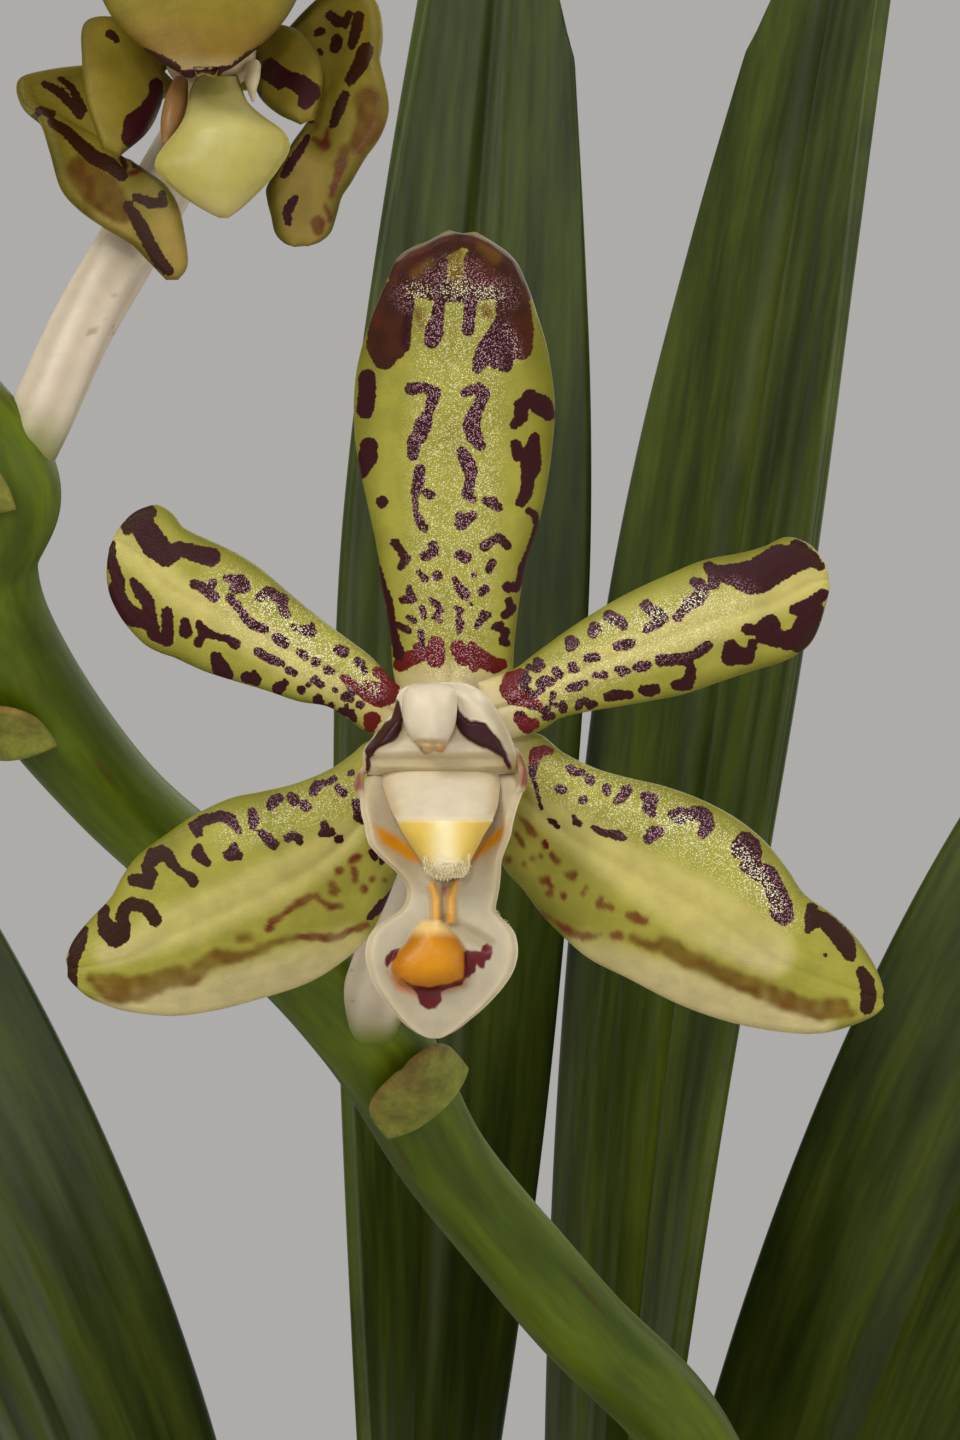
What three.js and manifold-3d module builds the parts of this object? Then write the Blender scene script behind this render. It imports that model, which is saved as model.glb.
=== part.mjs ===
// A potted Trichoglottis loheriana: a terracotta pot of bark, a leafy stem with aerial roots,
// and an arching flower stalk with three open flowers and its last buds. Millimetres, +Z up.
// The origin is the centre of the pot's underside, and the flowers face -Y.

import * as THREE from 'three';
import { mergeVertices } from 'three/addons/utils/BufferGeometryUtils.js';
import Module from 'manifold-3d';

const wasm = await Module();
wasm.setup();

// Driving dimensions

const GAP = 0.3;                 // left between any two pieces that touch

const POT_HEIGHT = 105;
const POT_FOOT_RADIUS = 42;
const POT_SHOULDER_RADIUS = 56;
const POT_RIM_RADIUS = 60;
const POT_RIM_HEIGHT = 22;
const POT_WALL = 5;
const POT_FLOOR = 6;
const POT_ROUNDING = 1.5;
const POT_SIDES = 32;
const DRAIN_RADIUS = 4.5;
const DRAIN_CIRCLE = 21;
const DRAIN_COUNT = 4;

const BARK_LEVEL = 90;           // where the bark meets the pot wall
const BARK_CROWN = 5;            // how far its middle stands above that

const STEM_POINTS = [[0, 0, 66], [1, 0, 108], [4.5, 1, 148], [9, 2, 184], [11, 3, 206]];
const STEM_RADII = [5.4, 5.0, 4.7, 4.3, 2.6];

const LEAF_THICKNESS = 1.7;
const LEAF_BASE_Z = 104;         // height of the lowest leaf base
const LEAF_STEP_Z = 11;          // height from one leaf base to the next
const LEAF_CLASP = 0.74;         // share of a half turn that each side of a leaf base wraps
const LEAF_TIP_NARROWING = 0.72; // share of its width that a leaf loses at the tip
const LEAF_FOLD_RADIUS = 26;     // how sharply a blade is channelled

// Leaves from the lowest up, on the left and the right in turn. Angles are in degrees from the
// vertical, outward: spread just above the clasping base, and tip at the far end.
const LEAVES = [
  { length: 138, width: 18, spread: 66, tip: 106, twist: 24, yaw: 8 },
  { length: 152, width: 19, spread: 60, tip: 104, twist: 28, yaw: -10 },
  { length: 166, width: 20, spread: 50, tip: 92, twist: 36, yaw: -6 },
  { length: 172, width: 20, spread: 44, tip: 78, twist: 42, yaw: 8 },
  { length: 172, width: 20, spread: 36, tip: 58, twist: 50, yaw: 6 },
  { length: 168, width: 20, spread: 8, tip: 40, twist: 58, yaw: -6 },
  { length: 164, width: 20, spread: 4, tip: 58, twist: 60, yaw: -4 },
  { length: 158, width: 18, spread: 3, tip: 12, twist: 36, yaw: 0 },
  { length: 146, width: 16, spread: -1, tip: -5, twist: 60, yaw: 0 },
];

const ROOT_RADIUS = 2.6;

// Aerial roots, each from inside the stem to its tip
const ROOTS = [
  [[1, 0, 103], [-6, -8, 103], [-17, -18, 100], [-26, -27, 93], [-30, -33, 83]],
  [[1, 0, 99], [11, -6, 101], [25, -14, 101], [35, -17, 95], [40, -20, 84]],
  [[1, 0, 101], [-4, 11, 103], [-12, 27, 106], [-22, 47, 111], [-28, 62, 108], [-31, 68, 92],
    [-29, 66, 68], [-31, 68, 44]],
  [[1, 0, 106], [13, 9, 108], [31, 21, 110], [50, 31, 113], [63, 38, 108], [69, 40, 92],
    [70, 44, 72]],
  [[2, 0, 110], [-9, -9, 111], [-25, -20, 112], [-42, -34, 113], [-56, -43, 109],
    [-62, -45, 95], [-60, -47, 78], [-63, -50, 64]],
];

// Heart of the main flower. Every point of the flower stalk and of the two front flowers is
// given from here: x to the right, y away from the viewer, z up.
const HEART = [10, -75, 290];

const STALK_RADIUS = 2.1;
const STALK_TIP_RADIUS = 1.1;
const STALK_TAPER_START = 16;    // the point from which the stalk thins
const KNOT_SWELLING = 0.35;
const STALK_POINTS = [
  [-5, 75, -147], [-4, 66, -145], [2, 59, -134], [11, 54, -112], [18, 50, -88], [20, 47, -70],
  [19, 43, -55], [15.6, 38.6, -43.5], [11.6, 34, -34.6], [6.2, 27.4, -28.4], [0.2, 20.5, -20.8],
  [-3.6, 15.4, -14.2], [-9.3, 11.4, -8.3], [-14.8, 8, -3.3], [-18.9, 4.8, 2.4],
  [-19.9, 2.4, 6.6], [-19.2, 0.6, 10.2], [-21.6, 0, 14.4], [-26, -1, 20], [-30.5, -2, 26],
  [-34, -2, 33],
];

const PEDICEL_RADIUS = 1.35;
const TEPAL_THICKNESS = 0.8;

// Tepals of an open flower. Stations run from the base to the tip. near and far are the two
// edges as [x, z], depth is the y of the middle line, and curl is how much further back the near
// and the far edge lie than the middle.
const DORSAL_SEPAL = {
  near: [[-2, 1], [-2.5, 4.6], [-3, 7.6], [-3.7, 10.8], [-3.9, 13.9], [-3.4, 16.7], [-2.6, 18.7],
    [-1, 20.5], [0.2, 21]],
  far: [[2.4, 1], [3.1, 4.4], [3.7, 7.5], [4.5, 10.7], [4.75, 13.9], [4.2, 16.8], [3.5, 18.7],
    [1.9, 20.6], [1.1, 21]],
  depth: [1.5, 1, 0.5, 0.1, -0.3, -0.9, -1.6, -2.6, -3.1],
  curlNear: [0.3, 0.4, 0.5, 0.5, 0.3, -0.3, -0.9, -0.5, -0.1],
  curlFar: [0.3, 0.4, 0.5, 0.5, 0.3, -0.3, -0.9, -0.5, -0.1],
};
const PETAL_LEFT = {
  near: [[-1.2, 1], [-3.7, 3.1], [-5.5, 4.4], [-7.5, 6], [-9.2, 7.2], [-10.8, 8.1], [-12, 9],
    [-12.7, 9.2], [-13.1, 9.1]],
  far: [[-1.8, -0.9], [-5.1, 0.6], [-7.6, 1.3], [-10.2, 2.1], [-12.4, 2.9], [-14, 4.8],
    [-14.6, 6.9], [-14.2, 8], [-13.7, 8.7]],
  depth: [0.2, 0, -0.3, -0.5, -0.7, -0.8, -0.7, -0.5, -0.4],
  curlNear: [0.2, 0.4, 0.6, 0.7, 0.7, 0.6, 0.4, 0.2, 0],
  curlFar: [0.2, 0.4, 0.6, 0.7, 0.8, 0.8, 0.5, 0.2, 0],
};
const PETAL_RIGHT = {
  near: [[1.4, 1.6], [4.6, 3.4], [6.7, 4.8], [8.9, 5.9], [11.1, 6.9], [13.1, 7.2], [14.7, 7.9],
    [15.8, 7.4], [16.3, 6.8]],
  far: [[2, -1], [5.5, 0.3], [7.9, 0.7], [10.4, 1.2], [12.6, 1.9], [14.6, 2.5], [15.8, 3.5],
    [16.4, 5], [16.6, 6]],
  depth: [0.2, 0, -0.3, -0.5, -0.7, -0.8, -0.7, -0.5, -0.4],
  curlNear: [0.2, 0.4, 0.6, 0.7, 0.7, 0.6, 0.4, 0.2, 0],
  curlFar: [0.2, 0.4, 0.6, 0.7, 0.8, 0.8, 0.5, 0.2, 0],
};
const LATERAL_SEPAL_LEFT = {
  near: [[-2, -0.8], [-4.1, -1.5], [-6, -2.6], [-8.2, -3.2], [-10.6, -4], [-12.8, -5.5],
    [-14.3, -7.4], [-15.8, -9.2], [-16.3, -10.1]],
  far: [[-0.8, -2.2], [-1.6, -5.2], [-2.7, -8.2], [-4.9, -10.8], [-8.4, -12.1], [-11.6, -12.7],
    [-14, -12.5], [-15.4, -12], [-16.1, -11.2]],
  depth: [1.5, 1.3, 0.9, 0.5, 0.2, 0.2, 0.5, 0.9, 1.1],
  curlNear: [0, 0.2, 0.3, 0.4, 0.4, 0.4, 0.3, 0.2, 0],
  curlFar: [0.2, 0.6, 1.2, 1.8, 2, 1.8, 1.3, 0.5, 0.1],
};
const LATERAL_SEPAL_RIGHT = {
  near: [[2.2, -0.8], [5.1, -1.4], [7.4, -2.4], [9.8, -3], [12.3, -4.1], [14.4, -5.9],
    [16, -7.9], [18, -9.7], [18.8, -11.3]],
  far: [[0.8, -2.2], [2, -5], [3.6, -7.7], [6.3, -10.2], [9.8, -12.1], [13.2, -13.2],
    [16.2, -13.5], [18, -13], [18.7, -12.4]],
  depth: [1.5, 1.3, 0.9, 0.5, 0.2, 0.2, 0.5, 0.9, 1.1],
  curlNear: [0, 0.2, 0.3, 0.4, 0.4, 0.4, 0.3, 0.2, 0],
  curlFar: [0.2, 0.6, 1.2, 1.8, 2, 1.8, 1.3, 0.5, 0.1],
};

// Tepals of the half-open flower, in the same form
const HOOD = {
  near: [[-12.6, 29.6], [-14.8, 33.4], [-15.4, 34.8], [-15.5, 33.2], [-14.2, 30], [-11.8, 27.8],
    [-10.7, 27.5]],
  far: [[-9, 29.6], [-6.6, 33.4], [-5.7, 34.8], [-5.6, 33.2], [-6.8, 30], [-8.9, 27.8],
    [-9.8, 27.5]],
  depth: [4.2, 4, 1.8, -1.6, -4.2, -5.4, -5.6],
  curlNear: [-0.3, 0, 1, 1.6, 1.2, 0.5, 0.1],
  curlFar: [-0.3, 0, 1, 1.6, 1.2, 0.5, 0.1],
};
const YOUNG_PETAL_LEFT = {
  near: [[-12.4, 30], [-14.6, 30.2], [-15.8, 29], [-15.8, 27], [-15.2, 25]],
  far: [[-11.6, 28.4], [-13, 28.2], [-13.6, 27.2], [-14, 25.6], [-14.5, 24.5]],
  depth: [2.6, 1.6, 0, -1.4, -2],
  curlNear: [0, 0.2, 0.3, 0.2, 0],
  curlFar: [0, -0.2, -0.4, -0.3, 0],
};
const YOUNG_PETAL_RIGHT = {
  near: [[-8.6, 30], [-6.4, 30.2], [-5.4, 29], [-5.2, 27.2], [-5.4, 26]],
  far: [[-9.4, 28.4], [-8, 28.2], [-7.4, 27.2], [-6.9, 26], [-6.2, 25.4]],
  depth: [2.6, 1.6, 0, -1.4, -2],
  curlNear: [0, 0.2, 0.3, 0.2, 0],
  curlFar: [0, -0.2, -0.4, -0.3, 0],
};
const YOUNG_SEPAL_LEFT = {
  near: [[-12.6, 28.4], [-17.6, 28], [-17.4, 25.4], [-16.5, 23], [-15.2, 21.4], [-13.1, 20.2],
    [-12.3, 19.3]],
  far: [[-11.4, 27.2], [-14.2, 26], [-13.2, 25.2], [-12.6, 23.8], [-11.8, 22.4], [-11.2, 20.7],
    [-11.3, 19.4]],
  depth: [4, 2.6, 1.4, 0.4, -0.4, -0.8, -0.8],
  curlNear: [0, -0.9, -1, -0.8, -0.5, -0.2, 0],
  curlFar: [0, -0.4, -0.6, -0.5, -0.3, -0.1, 0],
};
const YOUNG_SEPAL_RIGHT = {
  near: [[-8.2, 28.4], [-2.9, 30.2], [-2.4, 26.4], [-2.9, 24.5], [-4, 23.1], [-4.8, 21.3],
    [-5.8, 20.5]],
  far: [[-9.4, 27.2], [-6.4, 26.4], [-6.8, 25.2], [-7.4, 23.8], [-7.8, 22.8], [-7.5, 21.3],
    [-6.7, 20.5]],
  depth: [4, 2.6, 1.4, 0.4, -0.4, -0.8, -0.8],
  curlNear: [0, -0.9, -1, -0.8, -0.5, -0.2, 0],
  curlFar: [0, -0.4, -0.6, -0.5, -0.3, -0.1, 0],
};

// Column, anther cap and lip of an open flower, as rings: place along the axis, centre of the
// ring across it, and half sizes. The column and cap run along y, the lip hangs along z.
const COLUMN_RINGS = [
  [2.3, 0.3, -0.1, 1.5, 1.4], [1.1, 0.2, -0.2, 1.9, 1.7], [-1, 0, -0.4, 2.7, 1.9],
  [-2.6, -0.2, -0.4, 2.8, 1.9], [-3.8, -0.4, -0.4, 2.4, 1.8], [-4.4, -0.4, -0.5, 1.6, 1.2],
];
const CAP_RINGS = [
  [-3.3, -0.6, 0.4, 0.8, 0.8], [-4, -0.6, 0.4, 1.15, 1.15], [-4.8, -0.6, 0.2, 1.15, 1.15],
  [-5.4, -0.6, 0, 0.6, 0.7],
];
const LIP_RINGS = [
  [-2.7, -0.3, -2.9, 2.4, 2.4], [-4.1, -0.25, -3.3, 3.2, 3.1], [-5.4, -0.25, -3.4, 3.2, 2.6],
  [-6.7, -0.15, -3.4, 2.5, 1.8], [-7.6, 0.25, -3.6, 1.9, 1.3], [-8.7, 0, -3.9, 2.8, 1.2],
  [-10, -0.15, -4.2, 3.3, 1.3], [-11.3, -0.2, -4.3, 2.9, 1.3], [-12.6, -0.2, -4.3, 1.8, 1.1],
  [-13.6, -0.3, -4.2, 0.7, 0.6],
];

// The same for the half-open flower
const YOUNG_COLUMN_RINGS = [
  [3.9, -10.4, 29, 1.3, 1.3], [3, -10.4, 29, 1.7, 1.6], [1, -10.2, 29, 2, 1.7],
  [-1.2, -10.2, 29, 1.8, 1.5], [-2, -10.2, 29, 1.1, 0.9],
];
const YOUNG_CAP_RINGS = [
  [-1, -10.2, 29.2, 0.7, 0.7], [-1.8, -10.2, 29.1, 1, 1], [-2.6, -10.2, 29, 0.9, 0.9],
  [-3.1, -10.2, 29, 0.4, 0.4],
];
const YOUNG_LIP_RINGS = [
  [27.1, -10.1, -1.4, 1.9, 1.6], [26.4, -9.8, -2.4, 1.5, 1.4], [25.4, -9.2, -3.2, 2.2, 1.2],
  [24.3, -9.6, -3.6, 2.9, 1.1], [23.1, -9.5, -3.8, 2, 1], [22.1, -9.6, -3.8, 1, 0.7],
  [21.8, -9.6, -3.7, 0.5, 0.5],
];

// Pedicels, from the back of each flower to inside the stalk
const PEDICELS = [
  [[0.3, 2.95, -0.1], [0.2, 5.8, -1], [-0.9, 8.8, -5], [-2.3, 10.8, -9.4], [-3.3, 12.4, -12.4],
    [-3.6, 15, -14]],
  [[-10.4, 5.4, 28.9], [-10.9, 6.9, 26.6], [-13.7, 3.4, 21], [-15.8, 1.2, 17], [-17.6, 0.5, 13],
    [-19.2, 0.6, 10.2]],
  [[-39.45, -4.55, -4.1], [-36, -2.6, -5], [-29, 1.2, -4], [-23, 3.4, 0], [-18.9, 4.5, 2.6]],
];

// Placing of the third flower, which is like the first
const SIDE_HEART = [-42, -6, -4];
const SIDE_TURN = -60;

// Buds at the end of the stalk: the knot that carries each, and its tip
const BUDS = [
  { knot: [-22.9, -0.3, 16], bend: [-25.6, 4.4, 24], tip: [-26, 7.4, 36], radius: 4 },
  { knot: [-27.3, -1.3, 21.8], bend: [-35, -1, 24], tip: [-44.4, -1.6, 29.6], radius: 3.5 },
  { knot: [-30.9, -2, 26.6], bend: [-26.4, -5, 33], tip: [-27, -6.6, 42], radius: 3 },
  { knot: [-33.6, -2, 32], bend: [-36, -1.6, 37], tip: [-36.4, -1.4, 43], radius: 2.2 },
];

// Bracts: place along the stalk's points, how far from there the bract's foot is, and the way it faces
const BRACTS = [
  { knot: 11, lift: -3.9, away: [0.3, -1, -0.2] },
  { knot: 14, lift: -3, away: [-0.8, -0.8, -0.3] },
  { knot: 16, lift: -0.5, away: [-0.7, -0.8, 0.3] },
  { knot: 18, lift: -2, away: [-0.8, 0.6, -0.6] },
];
const BRACT_LENGTH = 3.4;
const BRACT_THICKNESS = 0.5;
const BRACT_HALF_SPAN = 0.95;    // half the angle its foot covers round the stalk, in radians
const BRACT_TAPER = 0.85;        // share of that width lost at the tip
const BRACT_FLARE = 0.6;         // how far its tip stands off

const COLOURS = {
  terracotta: { color: 0xa9583a, roughness: 0.85 },
  bark: { color: 0x4a2f1e, roughness: 0.95 },
  stem: { color: 0x5e7a2c, roughness: 0.6 },
  leaf: { color: 0x3f6a24, roughness: 0.45 },
  root: { color: 0xa9b3a0, roughness: 0.8 },
  stalk: { color: 0x4d7a1c, roughness: 0.5 },
  tepal: { color: 0x9aa63c, roughness: 0.45 },
  lip: { color: 0xefe6d0, roughness: 0.4 },
  pedicel: { color: 0xe6dfd0, roughness: 0.45 },
  bract: { color: 0x8a7a3a, roughness: 0.7 },
};

// Small helpers

const vector = (p) => new THREE.Vector3(p[0], p[1], p[2]);
const fromHeart = (p) => vector(p).add(vector(HEART));
const mix = THREE.MathUtils.lerp;
const ease = THREE.MathUtils.smoothstep;
const radians = THREE.MathUtils.degToRad;

function smoothLine(points) {
  return new THREE.CatmullRomCurve3(points, false, 'catmullrom', 0.5);
}

// A value read from a short list of evenly spaced ones
function along(values, t) {
  const at = Math.min(t * (values.length - 1), values.length - 1.000001);
  const i = Math.floor(at);
  return mix(values[i], values[i + 1], at - i);
}

// Turns the faces of a closed mesh outward
function outward(geometry) {
  const p = geometry.attributes.position;
  const index = geometry.index.array;
  const corner = [new THREE.Vector3(), new THREE.Vector3(), new THREE.Vector3()];
  let volume = 0;
  for (let i = 0; i < index.length; i += 3) {
    corner.forEach((c, k) => c.fromBufferAttribute(p, index[i + k]));
    volume += corner[0].dot(corner[1].clone().cross(corner[2]));
  }
  if (volume < 0) {
    for (let i = 0; i < index.length; i += 3) {
      [index[i], index[i + 1]] = [index[i + 1], index[i]];
    }
  }
  return geometry;
}

// A closed solid skinned over rings of points. Each end is closed by a strip that joins a
// ring's first half to its second, which suits round and flat rings alike.
function skin(rings) {
  const size = rings[0].length;
  const index = [];
  const quad = (a, b, c, d) => index.push(a, b, c, a, c, d);
  for (let r = 0; r < rings.length - 1; r++) {
    for (let k = 0; k < size; k++) {
      const next = (k + 1) % size;
      quad(r * size + k, r * size + next, (r + 1) * size + next, (r + 1) * size + k);
    }
  }
  const last = (rings.length - 1) * size;
  for (let k = 0; k < size / 2 - 1; k++) {
    const facing = size - 1 - k;
    quad(k, facing, facing - 1, k + 1);
    quad(last + k, last + k + 1, last + facing - 1, last + facing);
  }
  const geometry = new THREE.BufferGeometry();
  const places = rings.flat().flatMap((p) => [p.x, p.y, p.z]);
  geometry.setAttribute('position', new THREE.Float32BufferAttribute(places, 3));
  geometry.setIndex(index);
  return outward(geometry);
}

// A round solid along a line of points, with its radius at each of them
function limb(points, radii, { sides = 8, steps = 16, grow = 0 } = {}) {
  const line = smoothLine(points);
  const frames = line.computeFrenetFrames(steps, false);
  const rings = [];
  for (let s = 0; s <= steps; s++) {
    const t = line.getUtoTmapping(s / steps);
    const end = s === 0 ? -1 : s === steps ? 1 : 0;
    const centre = line.getPoint(t).addScaledVector(frames.tangents[s], end * grow);
    const radius = along(radii, t) + grow;
    const ring = [];
    for (let k = 0; k < sides; k++) {
      const angle = (2 * Math.PI * k) / sides;
      ring.push(centre.clone()
        .addScaledVector(frames.normals[s], radius * Math.cos(angle))
        .addScaledVector(frames.binormals[s], radius * Math.sin(angle)));
    }
    rings.push(ring);
  }
  return skin(rings);
}

// A thin solid of even thickness on both sides of a surface of u, lengthwise, and v, across
function slab(surface, rows, columns, thickness, grow = 0) {
  const STEP = 0.01;
  const rings = [];
  for (let r = 0; r <= rows; r++) {
    const upper = [];
    const lower = [];
    for (let c = 0; c <= columns; c++) {
      const u = r / rows;
      const v = (2 * c) / columns - 1;
      const lengthwise = surface(Math.min(1, u + STEP), v).sub(surface(Math.max(0, u - STEP), v));
      const across = surface(u, v + STEP).sub(surface(u, v - STEP));
      const normal = lengthwise.clone().cross(across).normalize();
      const edge = c === 0 ? -grow : c === columns ? grow : 0;
      const end = r === 0 ? -grow : r === rows ? grow : 0;
      const place = surface(u, v).addScaledVector(across.normalize(), edge)
        .addScaledVector(lengthwise.normalize(), end);
      const half = thickness / 2 + grow;
      upper.push(place.clone().addScaledVector(normal, half));
      lower.unshift(place.clone().addScaledVector(normal, -half));
    }
    rings.push([...upper, ...lower]);
  }
  return skin(rings);
}

// A solid of oval rings stacked along the y or the z axis
function stack(rows, axis, { sides = 12, grow = 0 } = {}) {
  const rings = rows.map(([at, centreA, centreB, sizeA, sizeB], row) => {
    const end = row === 0 ? -1 : row === rows.length - 1 ? 1 : 0;
    const place = at + end * grow * Math.sign(rows[rows.length - 1][0] - rows[0][0]);
    const ring = [];
    for (let k = 0; k < sides; k++) {
      const angle = (2 * Math.PI * (k + 0.5)) / sides;
      const a = centreA + (sizeA + grow) * Math.cos(angle);
      const b = centreB + (sizeB + grow) * Math.sin(angle);
      ring.push(axis === 'y' ? vector([a, place, b]) : vector([a, b, place]));
    }
    return ring;
  });
  return skin(rings);
}

function toSolid(geometry) {
  const bare = geometry.clone();
  for (const name of ['normal', 'uv']) bare.deleteAttribute(name);
  const merged = mergeVertices(bare, 1e-4);
  return new wasm.Manifold(new wasm.Mesh({
    numProp: 3,
    vertProperties: new Float32Array(merged.attributes.position.array),
    triVerts: new Uint32Array(merged.index.array),
  }));
}

// The largest single body of a solid, as a geometry
function toGeometry(body) {
  const pieces = body.decompose().sort((a, b) => b.volume() - a.volume());
  const mesh = pieces[0].getMesh();
  const geometry = new THREE.BufferGeometry();
  const places = [];
  for (let i = 0; i < mesh.numVert; i++) {
    places.push(...mesh.vertProperties.slice(i * mesh.numProp, i * mesh.numProp + 3));
  }
  geometry.setAttribute('position', new THREE.Float32BufferAttribute(places, 3));
  geometry.setIndex([...mesh.triVerts]);
  return geometry;
}

// Cuts each of the grown neighbours out of a piece
function carve(geometry, neighbours) {
  let body = toSolid(geometry);
  for (const neighbour of neighbours) body = body.subtract(toSolid(neighbour));
  return toGeometry(body);
}

const plant = new THREE.Group();

function add(parent, name, geometry, look) {
  const shown = geometry.index ? geometry.toNonIndexed() : geometry;
  shown.computeVertexNormals();
  const material = new THREE.MeshStandardMaterial({ ...COLOURS[look], metalness: 0 });
  const mesh = new THREE.Mesh(shown, material);
  mesh.name = name;
  parent.add(mesh);
}

// Pot

function pot() {
  const foot = POT_FOOT_RADIUS;
  const shoulder = POT_SHOULDER_RADIUS;
  const rim = POT_RIM_RADIUS;
  const shoulderZ = POT_HEIGHT - POT_RIM_HEIGHT;
  const profile = [
    [0, 0], [foot - POT_ROUNDING, 0], [foot, POT_ROUNDING], [shoulder, shoulderZ],
    [rim - 0.6, shoulderZ + 0.8], [rim, POT_HEIGHT - 3], [rim - POT_ROUNDING, POT_HEIGHT],
    [innerRadius(POT_HEIGHT) + POT_ROUNDING, POT_HEIGHT],
    [innerRadius(POT_HEIGHT - POT_ROUNDING), POT_HEIGHT - POT_ROUNDING],
    [innerRadius(POT_FLOOR), POT_FLOOR],
    [0, POT_FLOOR],
  ];
  const lathe = new THREE.LatheGeometry(profile.map(([x, y]) => new THREE.Vector2(x, y)), POT_SIDES);
  const drains = [];
  for (let k = 0; k < DRAIN_COUNT; k++) {
    const angle = (2 * Math.PI * (k + 0.5)) / DRAIN_COUNT;
    const drain = new THREE.CylinderGeometry(DRAIN_RADIUS, DRAIN_RADIUS, 4 * POT_FLOOR, 12);
    drain.rotateX(Math.PI / 2);
    drain.translate(DRAIN_CIRCLE * Math.cos(angle), DRAIN_CIRCLE * Math.sin(angle), 0);
    drains.push(drain);
  }
  return carve(lathe.rotateX(Math.PI / 2), drains);
}

// Radius of the pot's inner wall at a height
function innerRadius(z) {
  const t = z / (POT_HEIGHT - POT_RIM_HEIGHT);
  return mix(POT_FOOT_RADIUS, POT_SHOULDER_RADIUS, t) - POT_WALL;
}

function bark(rootsAndStem) {
  const low = POT_FLOOR + GAP;
  const profile = [
    [0, low], [innerRadius(low) - GAP, low], [innerRadius(BARK_LEVEL) - GAP, BARK_LEVEL],
    [40, BARK_LEVEL + 0.4 * BARK_CROWN], [22, BARK_LEVEL + 0.8 * BARK_CROWN],
    [0, BARK_LEVEL + BARK_CROWN],
  ];
  const lathe = new THREE.LatheGeometry(profile.map(([x, y]) => new THREE.Vector2(x, y)), POT_SIDES);
  return carve(lathe.rotateX(Math.PI / 2), rootsAndStem);
}

// Stem, roots and flower stalk

const stem = (grow = 0) => limb(STEM_POINTS.map(vector), STEM_RADII, { sides: 12, steps: 10, grow });

function root(points, grow = 0) {
  const taper = [1, 1, 1, 1, 1, 0.96, 0.9, 0.5].map((share) => share * ROOT_RADIUS);
  return limb(points.map(vector), taper, { sides: 6, steps: 3 * points.length, grow });
}

function stalk(grow = 0) {
  const radii = STALK_POINTS.map((p, i) => {
    const knot = BRACTS.some((bract) => bract.knot === i);
    const thinned = ease(i, STALK_TAPER_START, STALK_POINTS.length - 1);
    return mix(STALK_RADIUS, STALK_TIP_RADIUS, thinned) + (knot ? KNOT_SWELLING : 0);
  });
  return limb(STALK_POINTS.map(fromHeart), radii, { sides: 8, steps: 34, grow });
}

// Leaves

function leafSurface(leaf, order) {
  const side = order % 2 === 0 ? -1 : 1;
  const turn = radians(leaf.yaw);
  const outwardWay = new THREE.Vector3(side * Math.cos(turn), Math.sin(turn), 0);
  const acrossWay = new THREE.Vector3(-side * Math.sin(turn), Math.cos(turn), 0);
  const stemLine = smoothLine(STEM_POINTS.map(vector));
  const baseZ = LEAF_BASE_Z + order * LEAF_STEP_Z;
  const share = (baseZ - STEM_POINTS[0][2]) / (STEM_POINTS[4][2] - STEM_POINTS[0][2]);
  const foot = stemLine.getPointAt(share);
  const stemRadius = along(STEM_RADII, share);
  const wrap = stemRadius + GAP + LEAF_THICKNESS / 2 + 0.2;
  const lean = Math.atan2(STEM_POINTS[3][0] - STEM_POINTS[1][0], STEM_POINTS[3][2] - STEM_POINTS[1][2]);
  const start = foot.clone().addScaledVector(outwardWay, wrap);

  const angleAt = (u) => mix(side * lean, radians(leaf.spread), ease(u, 0.03, 0.2))
    + radians(leaf.tip - leaf.spread) * Math.max(u, 0) ** 1.6;
  const STEPS = 60;
  const middle = [start];
  for (let i = 0; i < STEPS; i++) {
    const angle = angleAt((i + 0.5) / STEPS);
    middle.push(middle[i].clone()
      .addScaledVector(outwardWay, (Math.sin(angle) * leaf.length) / STEPS)
      .add(vector([0, 0, (Math.cos(angle) * leaf.length) / STEPS])));
  }
  const line = smoothLine(middle);

  return (u, v) => {
    const angle = angleAt(u);
    const upperSide = outwardWay.clone().multiplyScalar(-Math.cos(angle))
      .add(vector([0, 0, Math.sin(angle)]));
    const twist = radians(leaf.twist) * ease(u, 0.1, 0.75);
    const width = acrossWay.clone().multiplyScalar(Math.cos(twist))
      .addScaledVector(upperSide, Math.sin(twist));
    const normal = upperSide.multiplyScalar(Math.cos(twist))
      .addScaledVector(acrossWay, -Math.sin(twist));
    const clasp = (LEAF_CLASP * wrap * Math.PI) / 2;
    const blade = (leaf.width / 2) * (1 - LEAF_TIP_NARROWING * ease(u, 0.62, 1.02) ** 1.5);
    const half = mix(clasp, blade, ease(u, 0.04, 0.34));
    const bend = mix(wrap, LEAF_FOLD_RADIUS, ease(u, 0.05, 0.4));
    return line.getPoint(u)
      .addScaledVector(width, bend * Math.sin((half * v) / bend))
      .addScaledVector(normal, bend * (1 - Math.cos((half * v) / bend)));
  };
}

function blade(order, grow = 0) {
  return slab(leafSurface(LEAVES[order], order), 13, 4, LEAF_THICKNESS, grow);
}

// Flowers

function tepalSurface(shape) {
  const { near, far, depth, curlNear, curlFar } = shape;
  const nearLine = smoothLine(near.map(([x, z], i) => vector([x, depth[i] + curlNear[i], z])));
  const farLine = smoothLine(far.map(([x, z], i) => vector([x, depth[i] + curlFar[i], z])));
  const middleLine = smoothLine(near.map(([x, z], i) => vector([
    (x + far[i][0]) / 2, depth[i], (z + far[i][1]) / 2,
  ])));
  return (u, v) => {
    const a = nearLine.getPoint(u);
    const b = farLine.getPoint(u);
    const middle = middleLine.getPoint(u);
    const bow = a.clone().add(b).multiplyScalar(0.5).sub(middle);
    return middle.addScaledVector(b.sub(a), v / 2).addScaledVector(bow, v * v);
  };
}

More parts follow.
